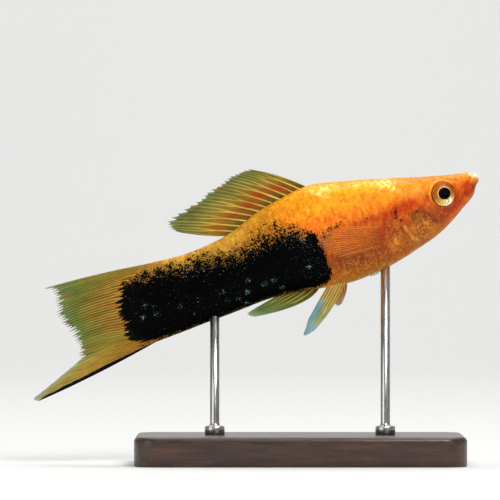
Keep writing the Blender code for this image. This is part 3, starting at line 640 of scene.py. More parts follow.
class Shade:
    """A material's nodes, written as calls that give sockets."""

    def __init__(self, name):
        self.material = bpy.data.materials.new(name)
        self.material.use_nodes = True
        self.tree = self.material.node_tree
        self.tree.nodes.clear()

    def feed(self, socket, value):
        if isinstance(value, bpy.types.NodeSocket):
            self.tree.links.new(value, socket)
        else:
            socket.default_value = value

    def node(self, kind, inputs=None, **settings):
        made = self.tree.nodes.new("ShaderNode" + kind)
        for key, value in settings.items():
            setattr(made, key, value)
        for key, value in (inputs or {}).items():
            self.feed(made.inputs[key], value)
        return made

    def mark(self, name, output="Fac"):
        return self.node("Attribute", attribute_name=name).outputs[output]

    def fish(self):
        return self.mark("fish", "Vector")

    def stretched(self, vector, factors):
        return self.node("VectorMath", {0: vector, 1: factors}, operation="MULTIPLY").outputs[0]

    def noise(self, vector, scale, detail=2.0, rough=0.5, warp=0.0):
        inputs = {"Vector": vector, "Scale": scale, "Detail": detail, "Roughness": rough, "Distortion": warp}
        return self.node("TexNoise", inputs).outputs["Fac"]

    def scaled(self, colour, value):
        return self.node("VectorMath", {0: colour, "Scale": value}, operation="SCALE").outputs[0]

    def cells(self, vector, scale, output="Distance"):
        return self.node("TexVoronoi", {"Vector": vector, "Scale": scale}).outputs[output]

    def chance(self, vector, scale):
        """A number from 0 to 1 drawn for each cell of a pattern."""
        drawn = self.cells(vector, scale, "Color")
        return self.node("SeparateXYZ", {0: drawn}).outputs[0]

    def math(self, operation, *values):
        return self.node("Math", dict(enumerate(values)), operation=operation).outputs[0]

    def times(self, a, b):
        return self.math("MULTIPLY", a, b)

    def span(self, value, low, high, start=0.0, end=1.0):
        """A soft step of a value from low to high, onto start to end."""
        inputs = {"Value": value, "From Min": low, "From Max": high, "To Min": start, "To Max": end}
        return self.node("MapRange", inputs, interpolation_type="SMOOTHSTEP").outputs[0]

    def ramp(self, value, stops):
        """A colour read off stops of (place, rrggbb)."""
        made = self.node("ValToRGB", {"Fac": value})
        bar = made.color_ramp.elements
        while len(bar) < len(stops):
            bar.new(0.5)
        for element, (place, colour) in zip(bar, stops):
            element.position = place
            element.color = linear(colour)
        return made.outputs["Color"]

    def blend(self, share, a, b, kind="MIX"):
        made = self.node("Mix", {0: share}, data_type="RGBA", blend_type=kind)
        for index, value in ((6, a), (7, b)):
            self.feed(made.inputs[index], linear(value) if isinstance(value, str) else value)
        return made.outputs[2]

    def bumped(self, height, depth):
        return self.node("Bump", {"Height": height, "Distance": depth}).outputs[0]

    def principled(self, **inputs):
        named = {key.replace("_", " "): value for key, value in inputs.items()}
        return self.node("BsdfPrincipled", named).outputs[0]

    def done(self, shader):
        self.node("OutputMaterial", {"Surface": shader})
        return self.material


def flesh(shade, fish):
    """The painted flesh, mottled, with dark and gold specks where the marks ask for grain."""
    slow, fine = shade.noise(fish, 0.9, 4.0, 0.65), shade.noise(fish, 3.2, 3.0, 0.7)
    colour = shade.scaled(shade.mark("paint", "Color"), shade.span(slow, 0.3, 0.7, 0.84, 1.1))
    colour = shade.scaled(colour, shade.span(fine, 0.25, 0.75, 0.82, 1.18))
    strands = shade.noise(shade.stretched(fish, (1.0, 1.0, 0.8)), 1.3, 4.0, 0.6, 0.6)
    behind = shade.span(shade.node("SeparateXYZ", {0: fish}).outputs[0], 1.3, 2.3)
    red = shade.times(behind, shade.span(strands, 0.5, 0.64, 0.0, 0.45))
    colour = shade.blend(red, colour, "ffac90", "MULTIPLY")
    colour = shade.blend(shade.span(strands, 0.52, 0.38, 0.0, 0.85), colour, "5c4414", "ADD")
    # Painted highlight: pale yellow laid on where the wet back shines
    painted_highlight = shade.times(shade.mark("painted_highlight"), shade.span(shade.noise(fish, 1.5, 3.0, 0.7), 0.42, 0.6))
    colour = shade.blend(painted_highlight, colour, "fbee86")
    grain = shade.mark("grain")
    colour = shade.blend(shade.times(grain, shade.span(fine, 0.51, 0.62, 0.0, 0.7)), colour, "5a2408")
    return shade.blend(shade.times(grain, shade.span(fine, 0.48, 0.36, 0.0, 0.8)), colour, "e4b44c")


def loose(shade, ink):
    """1 where half of the skin is covered with black, down to 0 where none or all of it is."""
    return shade.times(shade.times(ink, 4.0), shade.math("SUBTRACT", 1.0, ink))


def varied(shade, value, by, strength):
    """A value raised or lowered by a share of how far another number is from a half."""
    push = shade.times(shade.math("SUBTRACT", by, 0.5), strength)
    return shade.math("ADD", value, push)


def black_share(shade, fish):
    """How black a place is: dots that grow and run together, ended by a toothed edge on the tail."""
    ink = shade.mark("ink")
    clumps = shade.times(loose(shade, ink), 1.5)
    ink = varied(shade, ink, shade.noise(fish, 0.9, 4.0, 0.7), clumps)
    grown = shade.math("MULTIPLY_ADD", ink, 1.5, -0.26)
    reach = varied(shade, grown, shade.chance(fish, 4.6), loose(shade, ink))
    reach = varied(shade, reach, shade.noise(fish, 7.0, 2.0, 0.6), 0.8)
    dots = shade.span(shade.math("SUBTRACT", reach, shade.cells(fish, 4.6)), -0.14, 0.14)
    teeth = shade.noise(shade.stretched(fish, (0.1, 0.0, 2.6)), 1.0, 2.0, 0.6)
    rear = shade.span(varied(shade, shade.mark("rear"), teeth, 4.4), -0.08, 0.08)
    return shade.times(dots, rear)


def flecks(shade, fish, scale, share, gain):
    """Small ragged flecks, more of them where the share is larger."""
    fine = shade.math("ADD", shade.noise(fish, scale, 3.0, 0.7), shade.times(share, gain))
    return shade.span(fine, 0.70, 0.80, 0.0, 0.9)


def black_colour(shade, fish):
    """Black with painted glints of pale reflected light, and green flecks gathered in rosettes."""
    colour = shade.blend(flecks(shade, fish, 5.0, shade.mark("rosette"), 0.25), "000000", "6e9e86")
    # Painted glints: pale flecks that stand in for light glinting off the scales
    return shade.blend(flecks(shade, fish, 4.4, shade.mark("painted_glint"), 0.2), colour, "b4c0ac")


def skin_material(name, scaled):
    """Wet skin; each scale differs a little from the next and is a little deeper in colour at its rim."""
    shade = Shade(name)
    fish = shade.fish()
    colour = flesh(shade, fish)
    if scaled:
        colour = shade.scaled(colour, shade.span(shade.mark("rim"), 0.45, 1.0, 1.04, 0.88))
        colour = shade.scaled(colour, varied(shade, 1.0, shade.mark("lot"), 0.12))
    black = black_share(shade, fish)
    colour = shade.blend(black, colour, black_colour(shade, fish))
    fine = shade.noise(fish, 3.6, 2.0, 0.6)
    surface = shade.principled(
        Base_Color=colour, Roughness=shade.span(fine, 0.3, 0.7, 0.36, 0.52),
        Normal=shade.bumped(fine, 0.00003), IOR=1.4, Specular_IOR_Level=shade.span(black, 0.0, 1.0, 0.17, 0.05),
        Subsurface_Weight=shade.span(black, 0.0, 1.0, 0.04, 0.0), Subsurface_Radius=(1.0, 0.35, 0.12),
        Subsurface_Scale=0.0005, Coat_Weight=shade.span(black, 0.0, 1.0, 0.05, 0.0), Coat_Roughness=0.15,
    )
    return shade.done(surface)


def fin_material(name, look):
    """A thin web with stiffer rays in it; light comes through both."""
    shade = Shade(name)
    fish = shade.fish()
    ray, along = shade.mark("ray"), shade.mark("along")
    noise = shade.noise(shade.stretched(fish, (0.6, 0.6, 1.6)), 1.0, 3.0, 0.6)
    web = shade.scaled(shade.ramp(along, look["web"]), shade.span(noise, 0.3, 0.7, 0.82, 1.15))
    blotch = shade.times(shade.mark("blotch"), shade.span(noise, 0.3, 0.5, look["even"], 1.0))
    web = shade.blend(blotch, web, look["deep"])
    rays = shade.blend(shade.times(blotch, 0.5), shade.ramp(along, look["rays"]), look["deep"])
    colour = shade.blend(shade.span(ray, 0.1, 0.75), web, rays)
    flow = shade.mark("flow", "Vector")
    streaks = shade.noise(flow, 1.3, 3.0, 0.65)
    colour = shade.scaled(colour, shade.span(streaks, 0.3, 0.7, 0.78, 1.2))
    tinge = shade.span(shade.noise(flow, 0.7, 4.0, 0.7, 0.4), 0.5, 0.66, 0.0, look["streaked"])
    colour = shade.blend(tinge, colour, look["streak"])
    cover = shade.times(shade.span(along, 0.3, 1.0, 1.0, look["thins"]), look["cover"])
    cover = shade.times(shade.span(along, 0.9, 1.0, 1.0, 0.7), cover)
    cover = shade.math("MAXIMUM", cover, shade.span(ray, 0.1, 0.75, 0.0, look["ray_cover"]))
    border = shade.span(varied(shade, shade.mark("border"), noise, 0.5), -0.05, 0.05)
    black = shade.math("MAXIMUM", black_share(shade, fish), border)
    colour = shade.blend(black, colour, "020202")
    cover = shade.math("MAXIMUM", cover, black)
    solid = shade.principled(Base_Color=colour, Roughness=0.45, Specular_IOR_Level=0.12)
    through = shade.node("BsdfTranslucent", {"Color": colour}).outputs[0]
    lit = shade.node("MixShader", {0: 0.22, 1: solid, 2: through}).outputs[0]
    clear = shade.node("BsdfTransparent").outputs[0]
    return shade.done(shade.node("MixShader", {0: cover, 1: clear, 2: lit}).outputs[0])


def iris_material():
    """A gold iris, paler below and browner above, with a fine bright ring round the black pupil."""
    shade = Shade("iris")
    radius, pupil, turn = shade.mark("radius"), shade.mark("pupil"), shade.mark("turn")
    spoke = shade.mark("spoke", "Vector")
    streaks = shade.noise(shade.stretched(spoke, (7.0, 7.0, 2.0)), 1.6, 3.0, 0.6)
    colour = shade.scaled(shade.ramp(turn, IRIS), shade.span(streaks, 0.35, 0.65, 0.7, 1.15))
    line = shade.times(shade.span(radius, 0.74, 0.80), shade.span(radius, 0.86, 0.81))
    colour = shade.blend(shade.times(line, 0.45), colour, "74400f")
    colour = shade.blend(shade.span(radius, 0.94, 0.99, 0.0, 0.75), colour, "642c0e")
    downwards = {0: spoke, 1: (-0.3, -0.95, 0.0)}
    lower = shade.node("VectorMath", downwards, operation="DOT_PRODUCT").outputs["Value"]
    # Painted highlights: white sparkles low on the front of the iris
    painted_sparkles = shade.span(shade.noise(shade.fish(), 3.0, 2.0, 0.6), 0.48, 0.58)
    colour = shade.blend(shade.times(painted_sparkles, shade.span(lower, 0.8, 0.97)), colour, "fffdf0")
    ring = shade.times(shade.span(pupil, 1.24, 1.1), shade.span(pupil, 0.98, 1.05))
    ring = shade.times(ring, shade.span(lower, 0.4, -0.4, 0.1, 0.8))
    colour = shade.blend(ring, colour, "f6c890")
    colour = shade.blend(shade.span(pupil, 1.04, 0.98), colour, "010101")
    rough = shade.span(streaks, 0.3, 0.7, 0.5, 0.65)
    return shade.done(shade.principled(Base_Color=colour, Roughness=rough, Specular_IOR_Level=0.03))


def cornea_material():
    """All but invisible, with a soft gloss."""
    shade = Shade("cornea")
    surface = shade.principled(Base_Color=(1, 1, 1, 1), Roughness=0.12, Metallic=1.0, Alpha=0.003)
    return shade.done(surface)


def wood_material():
    """Dark satin wood, its grain along the base."""
    shade = Shade("dark_wood")
    place = shade.node("TexCoord").outputs["Object"]
    long = shade.stretched(place, (90.0, 700.0, 700.0))
    grain = shade.noise(long, 1.6, 5.0, 0.6, 0.6)
    pores = shade.noise(shade.stretched(place, (400.0, 6000.0, 6000.0)), 1.0, 2.0, 0.5)
    colour = shade.ramp(grain, ((0.25, "1d100a"), (0.5, "3a2114"), (0.75, "55331d")))
    colour = shade.blend(shade.span(pores, 0.6, 0.72), colour, "140a06")
    rough = shade.span(grain, 0.3, 0.7, 0.32, 0.46)
    normal = shade.bumped(pores, 0.00006)
    surface = shade.principled(
        Base_Color=colour, Roughness=rough, Normal=normal, Coat_Weight=0.3, Coat_Roughness=0.15
    )
    return shade.done(surface)


def steel_material():
    """Polished steel with a fine brush along the rod."""
    shade = Shade("rod_steel")
    place = shade.node("TexCoord").outputs["Object"]
    brush = shade.noise(shade.stretched(place, (5000.0, 5000.0, 300.0)), 1.0, 2.0)
    rough = shade.span(brush, 0.3, 0.7, 0.18, 0.34)
    colour = shade.ramp(brush, ((0.3, "b9b7b2"), (0.7, "d8d6d1")))
    return shade.done(shade.principled(Base_Color=colour, Roughness=rough, Metallic=1.0))


# The fish


def make_skin(skin, material):
    """The skin as one closed piece, in place of all the flesh."""
    rings, sides = skin.grid.shape[:2]
    points = skin.grid.reshape(-1, 3)
    ends = np.array([[0.0, 0.0, 0.0], skin.grid[-1].mean(axis=0) + (0.05, 0, 0)])
    points = np.vstack([points, ends])
    faces = ring_faces(rings, sides)
    front, rear, last = rings * sides, rings * sides + 1, (rings - 1) * sides
    for c in range(sides):
        d = (c + 1) % sides
        faces += [(front, d, c), (rear, last + c, last + d)]
    around = np.concatenate([np.tile(np.arange(sides) / sides, rings), [0.5, 0.5]])
    uvs = np.column_stack([points[:, 0] / MAP_LENGTH, around])
    obj = mesh_object("skin", placed(points), faces, material, markings(points), uvs)
    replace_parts(obj, "head", "lower_jaw", "gill_cover_right", "gill_cover_left", "trunk", "tail_stalk")


def scale_disc():
    """A scale's plan as (x, y, ring share), from its root at x 0 to its free edge at x 1."""
    plan = [(0.5, 0.0, 0.0)]
    for ring in range(1, SCALE_RINGS + 1):
        share = ring / SCALE_RINGS
        for k in range(SCALE_SECTORS):
            turn = 2 * math.pi * k / SCALE_SECTORS
            plan.append((0.5 + 0.5 * share * math.cos(turn), share * math.sin(turn), share))
    return np.array(plan)


def scale_faces():
    """Faces of a scale: its upper side, its rim and its under side."""
    faces = []
    count = SCALE_SECTORS
    rim = 1 + (SCALE_RINGS - 1) * count
    under = 1 + SCALE_RINGS * count
    for k in range(count):
        j = (k + 1) % count
        faces.append((0, 1 + j, 1 + k))
        for ring in range(SCALE_RINGS - 1):
            low, high = 1 + ring * count, 1 + (ring + 1) * count
            faces += [(low + k, low + j, high + j), (low + k, high + j, high + k)]
        faces += [(rim + k, rim + j, under + j), (rim + k, under + j, under + k)]
        faces.append((under + k, under + j, under + count))
    return np.array(faces)


def scale_places(skin):
    """Root places (s, w) of all scales of one flank."""
    places = []
    column = 0
    s = SCALE_FIRST
    while s < SCALE_LAST:
        for row in range(SCALE_ROWS + 1):
            w = (row + 0.5 * (column % 2)) / SCALE_ROWS
            if w <= 1.0:
                places.append((s, w))
        s += SCALE_STEP
        column += 1
    places = np.array(places)
    at, _ = skin.at(places[:, 0], places[:, 1])
    s, h = at[:, 0], at[:, 2]
    gill = side_of_curve(s, h, GILL_CURVE)
    tail = side_of_curve(s + SCALE_LENGTH, h, TAIL_CURVE)
    return places[((gill > 0.35) | (places[:, 1] < 0.16)) & (tail < TAIL_THINS[0] / 2)]


def scale_points(skin, plan, s, w):
    """Points of one scale: its upper side, the lower edge of its rim and the middle of its under side."""
    place, normal = skin.at(s, w)
    crown = 0.015 * (1 - plan[:, 1] ** 2) * (1 - plan[:, 2] ** 2)
    lift = -SCALE_SUNK + (SCALE_SUNK + SCALE_LIFT) * plan[:, 0] + crown
    top = place + normal * lift[:, None]
    rim = top[-SCALE_SECTORS:] - normal[-SCALE_SECTORS:] * SCALE_THICK
    middle = place[:1] + normal[:1] * (lift[0] - SCALE_HOLLOW - SCALE_THICK)
    return np.vstack([top, rim, middle])


def with_under_side(rows):
    """Rows for a scale's upper side, followed by those that its under side repeats."""
    return np.vstack([rows, rows[-SCALE_SECTORS:], rows[:1]])


def make_scales(skin, material, side, word):
    """The scales of one flank as overlapping closed plates, roots sunk and free edges raised."""
    draw = np.random.default_rng(SCALE_SEED + side)
    places = scale_places(skin)
    plan = scale_disc()
    faces = scale_faces()
    girths = np.linalg.norm(np.diff(skin.grid[:, : SKIN_SIDES // 2], axis=1), axis=2).sum(axis=1)
    spread = with_under_side(np.column_stack([plan[:, 0] - 0.5, plan[:, 1] / 2]) * PATCH)
    every, every_mark, every_uv = [], [], []
    for s, w in places:
        girth = np.interp(s, skin.s, girths)
        width = girth / SCALE_ROWS * 1.5 * draw.uniform(0.97, 1.03)
        length = SCALE_LENGTH * draw.uniform(0.96, 1.04)
        at_s = np.clip(s + plan[:, 0] * length, 0.1, BODY_END - 0.1)
        every.append(scale_points(skin, plan, at_s, w + plan[:, 1] * width / 2 / girth))
        marks = np.column_stack([plan[:, 2] * (0.2 + 0.8 * plan[:, 0]), np.full(len(plan), draw.random())])
        every_mark.append(with_under_side(marks))
        every_uv.append(np.array([s / MAP_LENGTH, w / 2]) + spread)
    points = np.vstack(every)
    marks = np.vstack(every_mark)
    uvs = np.vstack(every_uv)
    if side > 0:
        points = points * (1, -1, 1)
        faces = faces[:, ::-1]
        uvs = np.column_stack([uvs[:, 0], 1 - uvs[:, 1]])
    firsts = np.arange(len(places)) * len(spread)
    all_faces = (faces[None] + firsts[:, None, None]).reshape(-1, 3)
    named = markings(points)
    named["rim"], named["lot"] = marks[:, 0], marks[:, 1]
    obj = mesh_object("scales_" + word, placed(points), all_faces, material, named, uvs)
    obj.data.set_sharp_from_angle(angle=math.radians(50))


def crest_of(phase, v, spec):
    """How near a point is to a ray's stem or branches: phase is its place between rays, v along them."""
    reaches = [reach * smooth(*fork, v) for reach, fork in zip((0.24, 0.12), spec["forks"])]
    first, second = (reaches + [0.0, 0.0])[:2]
    width = spec["widths"][0] + (spec["widths"][1] - spec["widths"][0]) * smooth(0.15, 0.8, v)
    crest = np.zeros_like(phase * v)
    for one in (-1, 1):
        for two in (-1, 1):
            crest = np.maximum(crest, bump(phase - (one * first + two * second), width))
    return crest


def fin_cut(spec, place, phase):
    """How far the free edge is notched and frayed at each place between the rays, in millimetres."""
    draw = np.random.default_rng(spec["seed"])
    spots = np.arange(0, spec["rays"], 0.25)
    frays = np.interp(place, spots, draw.uniform(0, 1, len(spots)))
    crest = crest_of(phase, np.ones_like(phase), spec)
    cut = spec["notch"] * (1 - crest) + spec["fray"] * frays[:, None]
    cut = cut + spec["split"] * smooth(0.36, 0.5, np.abs(phase))
    return cut * (0.3 + 0.7 * smooth(0.0, 0.03, place / (spec["rays"] - 1)))[:, None]


def make_fin(name, skin, spec, material):
    """A fin as one thin closed sheet with branching rays raised on both faces and a frayed free edge."""
    rays = spec["rays"]
    place = np.linspace(0, rays - 1, (rays - 1) * spec["per_ray"] + 1)
    share = place / (rays - 1)
    phase = (place - np.round(place))[:, None]
    root, bend, tip = (across(spec[key], share)[:, None, :] for key in ("roots", "bends", "tips"))
    length = np.linalg.norm(tip - root, axis=2)
    v = np.linspace(0, 1, FIN_ROWS)[None, :] * (1 - fin_cut(spec, place, phase) / length)
    far = v[:, :, None]
    grid = (1 - far) ** 2 * root + 2 * far * (1 - far) * bend + far**2 * tip
    if "lateral" in spec:
        grid[:, :, 1] = spec["lateral"](skin, grid[:, :, 0], grid[:, :, 2], v)
    normal = np.cross(np.gradient(grid, axis=0), np.gradient(grid, axis=1))
    normal /= np.maximum(np.linalg.norm(normal, axis=2)[:, :, None], 1e-9)
    ripple = spec["ripple"] * v**1.5 * np.sin(share[:, None] * spec["folds"] * math.pi + 2 * v)
    grid = grid + normal * ripple[:, :, None]
    crest = crest_of(phase, v, spec) * (0.84 + 0.16 * np.sin(7.3 * np.round(2 * place)))[:, None]
    thick = spec["web"] * (1.6 - 0.9 * v) + spec["relief"] * crest * (1 - 0.85 * v)
    half = normal * thick[:, :, None] / 2
    points, faces = sheet(grid + half, grid - half)
    middle = np.concatenate([grid.reshape(-1, 3)] * 2)
    ink = ink_marks(middle[:, 0], middle[:, 2])
    flow = np.dstack([place[:, None] + 0 * v, v * length / FLOW_LENGTH, 0 * v])
    marks = {"fish": middle, "ink": ink["ink"], "rear": ink["rear"]}
    marks["flow"] = np.tile(flow.reshape(-1, 3), (2, 1))
    flat = np.broadcast_to(share[:, None], v.shape)
    fields = {"ray": crest, "along": v, "blotch": spec["blotch"](flat, v), "border": spec["border"](flat, v)}
    marks.update({mark: np.tile(values.ravel(), 2) for mark, values in fields.items()})
    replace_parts(mesh_object(name, placed(points), faces, material, marks), name)


def sheet(face, back):
    """Points and faces of one closed body between two grids of points."""
    columns, rows = face.shape[:2]
    points = np.vstack([face.reshape(-1, 3), back.reshape(-1, 3)])
    i, j = np.meshgrid(np.arange(columns - 1), np.arange(rows - 1), indexing="ij")
    a = (i * rows + j).ravel()
    b = a + rows
    offset = columns * rows
    near = np.column_stack([a, b, b + 1, a + 1])
    far = near[:, ::-1] + offset
    rim = np.concatenate([
        np.arange(columns) * rows,
        (columns - 1) * rows + np.arange(1, rows),
        np.arange(columns - 2, -1, -1) * rows + rows - 1,
        np.arange(rows - 2, 0, -1),
    ])
    after = np.roll(rim, -1)
    wall = np.column_stack([after, rim, rim + offset, after + offset])
    return points, np.vstack([near, far, wall])


def backs(s, sunk):
    """Places along the back, sunk into it."""
    return [(x, 0, top - sunk) for x, top in zip(s, section(np.asarray(s, float))[0])]


def dorsal_blotch(share, v):
    """Red patches between the rays of the back fin, each a little nearer to or farther from the body."""
    web = np.floor(share * 12)
    middle = 0.27 + 0.05 * np.sin(5.1 * web) + 0.08 * share
    strength = 0.8 + 0.2 * np.sin(3.3 * web + 1.0) - 0.35 * smooth(0.5, 0.85, share)
    return strength * bump(v - middle, 0.15) * smooth(0.05, 0.15, share) * smooth(1.0, 0.9, share)


def caudal_blotch(share, v):
    """Golden margins along the upper and lower rays of the tail fin."""
    lower = smooth(0.7, 0.9, share) * smooth(0.15, 0.45, v)
    return 0.7 * smooth(1.0, 0.6, v) * (lower + smooth(0.2, 0.0, share))


def pelvic_blotch(share, v):
    """Blue on the rear half and at the tip of the right pelvic fin."""
    return np.maximum(smooth(0.4, 0.6, share) * smooth(0.3, 0.5, v), smooth(0.72, 0.95, v))


def pectoral_painted_highlight(share, v):
    """A painted highlight along the first ray, where the fin's upper edge catches the light."""
    return bump(share, 0.05) * smooth(1.0, 0.7, v)


def sword_border(share, v):
    """How far inside the sword's black lower border a place is, in millimetres."""
    border = ((0, 0.1), (0.12, 0.35), (0.25, 0.65), (0.45, 0.8), (0.7, 0.6), (0.92, 0.2), (0.97, 0.0))
    wide = np.interp(v, *zip(*border))
    width = np.interp(v, *zip((0, 2.2), (0.3, 3.4), (0.6, 3.6), (0.8, 2.6), (1.0, 1.2)))
    return wide - (1 - share) * width


def flank_width(skin, s, h):
    """Half of the finished body's width at each s and height h, on the right flank."""
    half = skin.grid[:, : SKIN_SIDES // 2 + 1]
    ring = np.clip(np.searchsorted(skin.s, s), 0, len(skin.s) - 1)
    width = np.empty(s.shape)
    for k in range(s.size):
        row = half[ring.flat[k]]
        width.flat[k] = np.interp(-h.flat[k], -row[:, 2], -row[:, 1])
    return width


def beside_body(skin, s, h, v):
    """How far to the left a fin laid along the right flank is: its roots under the skin, its tips free."""
    return -(flank_width(skin, s, h) - 0.25 + 0.7 * np.clip(v / 0.2, 0, 1) + 0.8 * v)


# What most fins share: steps from ray to ray, where the rays fork and how wide stem and branches are, how the
# edge is notched, frayed and split, how high it ripples, and how thick web and rays are
FIN_ROWS = 44
FIN_SHAPE = dict(
    per_ray=16, forks=((0.26, 0.6), (0.62, 0.9)), widths=(0.13, 0.065), notch=0.35, fray=0.3, split=0.2,
    ripple=0.12, web=0.12, relief=0.2, blotch=lambda share, v: 0 * v, border=lambda share, v: v - 9,
)
# Each fin's own shape: roots, bends and tips are places (s, y, h) from its first ray to its last
FINS = {
    "dorsal_fin": dict(
        rays=13, seed=7, folds=6, notch=0.55, fray=0.5, per_ray=20, forks=((0.34, 0.66),),
        widths=(0.12, 0.10),
        roots=backs(np.linspace(27.4, 42.8, 7), 0.7),
        bends=((31.6, 0, 12.6), (35.4, 0, 12.1), (39.6, 0, 10.9), (43.3, 0, 8.9), (46.6, 0, 6.3)),
        tips=((36.4, 0, 15.0), (38.7, 0, 15.1), (41.5, 0, 14.5), (44.7, 0, 13.5), (48.4, 0, 12.4),
              (52.7, 0, 11.2), (51.7, 0, 9.3)),
        blotch=dorsal_blotch,
    ),
    "caudal_fin": dict(
        rays=17, seed=8, folds=5, notch=1.0, fray=0.9, split=0.3, per_ray=20, forks=((0.0, 0.22),),
        widths=(0.12, 0.13),
        roots=((53.0, 0, 4.8), (59.0, 0, 4.7), (62.1, 0, 3.0), (63.3, 0, 0.5), (63.5, 0, -2.0),
               (63.1, 0, -4.6), (62.5, 0, -5.6)),
        bends=((64.0, 0, 7.0), (68.6, 0, 4.9), (69.8, 0, 1.6), (69.8, 0, -1.6), (69.3, 0, -5.6)),
        tips=((76.2, 0, 7.8), (74.9, 0, 6.1), (75.3, 0, 4.3), (75.5, 0, 2.6), (75.2, 0, 0.9), (74.5, 0, -0.9),
              (74.2, 0, -2.6), (74.1, 0, -4.0), (74.6, 0, -5.9)),
        blotch=caudal_blotch,
    ),
    "sword": dict(
        rays=9, seed=9, folds=1, notch=0.12, fray=0.15, split=0.05, per_ray=14, ripple=0.03, forks=(),
        roots=((63.2, 0, -5.4), (62.6, 0, -6.1), (61.6, 0, -6.7), (60.0, 0, -7.1)),
        bends=((69.3, 0, -5.5), (70.8, 0, -6.9), (71.8, 0, -8.1), (72.5, 0, -9.3)),
        tips=((74.4, 0, -5.75), (78.3, 0, -7.2), (82.3, 0, -8.6), (84.2, 0, -9.3), (83.4, 0, -9.95)),
        border=sword_border,
    ),
    "gonopodium": dict(
        rays=7, seed=10, folds=1, notch=0.25, ripple=0.0, web=0.3, relief=0.25, forks=((0.3, 0.6),),
        widths=(0.13, 0.11),
        roots=((35.4, 0, -6.4), (33.4, 0, -6.9), (31.3, 0, -7.6)),
        bends=((40.0, 0, -7.0), (37.5, 0, -8.6), (33.5, 0, -10.8)),
        tips=((44.9, 0, -8.0), (45.1, 0, -8.4), (44.4, 0, -8.9)),
    ),
    "pelvic_fin_right": dict(
        rays=7, seed=11, folds=2, fray=0.4, per_ray=20,
        roots=((27.2, -0.8, -8.4), (28.6, -0.7, -8.3), (30.2, -0.6, -8.1)),
        bends=((30.6, -2.0, -12.6), (32.2, -1.9, -11.6), (32.6, -1.5, -10.0)),
        tips=((35.5, -3.4, -14.6), (37.0, -3.4, -15.0), (37.0, -3.0, -14.4), (35.6, -2.5, -12.7)),
        blotch=pelvic_blotch,
    ),
    "pelvic_fin_left": dict(
        rays=7, seed=12, folds=2, fray=0.4,
        roots=((27.0, 0.9, -8.4), (28.4, 0.8, -8.3), (29.8, 0.7, -8.1)),
        bends=((27.2, 4.2, -10.0), (28.8, 4.6, -10.3), (30.2, 4.2, -9.6)),
        tips=((28.3, 7.6, -11.4), (29.4, 8.4, -12.2), (30.3, 7.8, -11.8), (31.0, 6.6, -10.6)),
    ),
    "pectoral_fin_right": dict(
        rays=15, seed=13, folds=3, notch=0.3, fray=0.8, web=0.06, relief=0.08, per_ray=20, forks=(),
        widths=(0.14, 0.14),
        roots=((17.9, 0, -2.1), (18.4, 0, -3.8), (18.8, 0, -5.3)),
        bends=((22.0, 0, -0.5), (23.8, 0, -2.6), (22.6, 0, -4.7)),
        tips=((26.9, 0, 1.0), (28.6, 0, 0.1), (29.5, 0, -1.2), (28.9, 0, -2.9), (26.4, 0, -4.9)),
        blotch=pectoral_painted_highlight, lateral=beside_body,
    ),
    "pectoral_fin_left": dict(
        rays=11, seed=14, folds=3, notch=0.3, web=0.07, relief=0.13,
        roots=((17.9, 3.3, -2.3), (18.4, 2.9, -3.8), (18.8, 2.4, -5.3)),
        bends=((20.4, 8.4, -2.9), (20.9, 7.9, -5.4), (20.6, 7.0, -7.2)),
        tips=((22.2, 11.6, -4.2), (23.2, 11.9, -6.2), (23.3, 11.4, -8.2), (22.5, 10.4, -9.6),
              (21.0, 8.6, -9.4)),
    ),
}
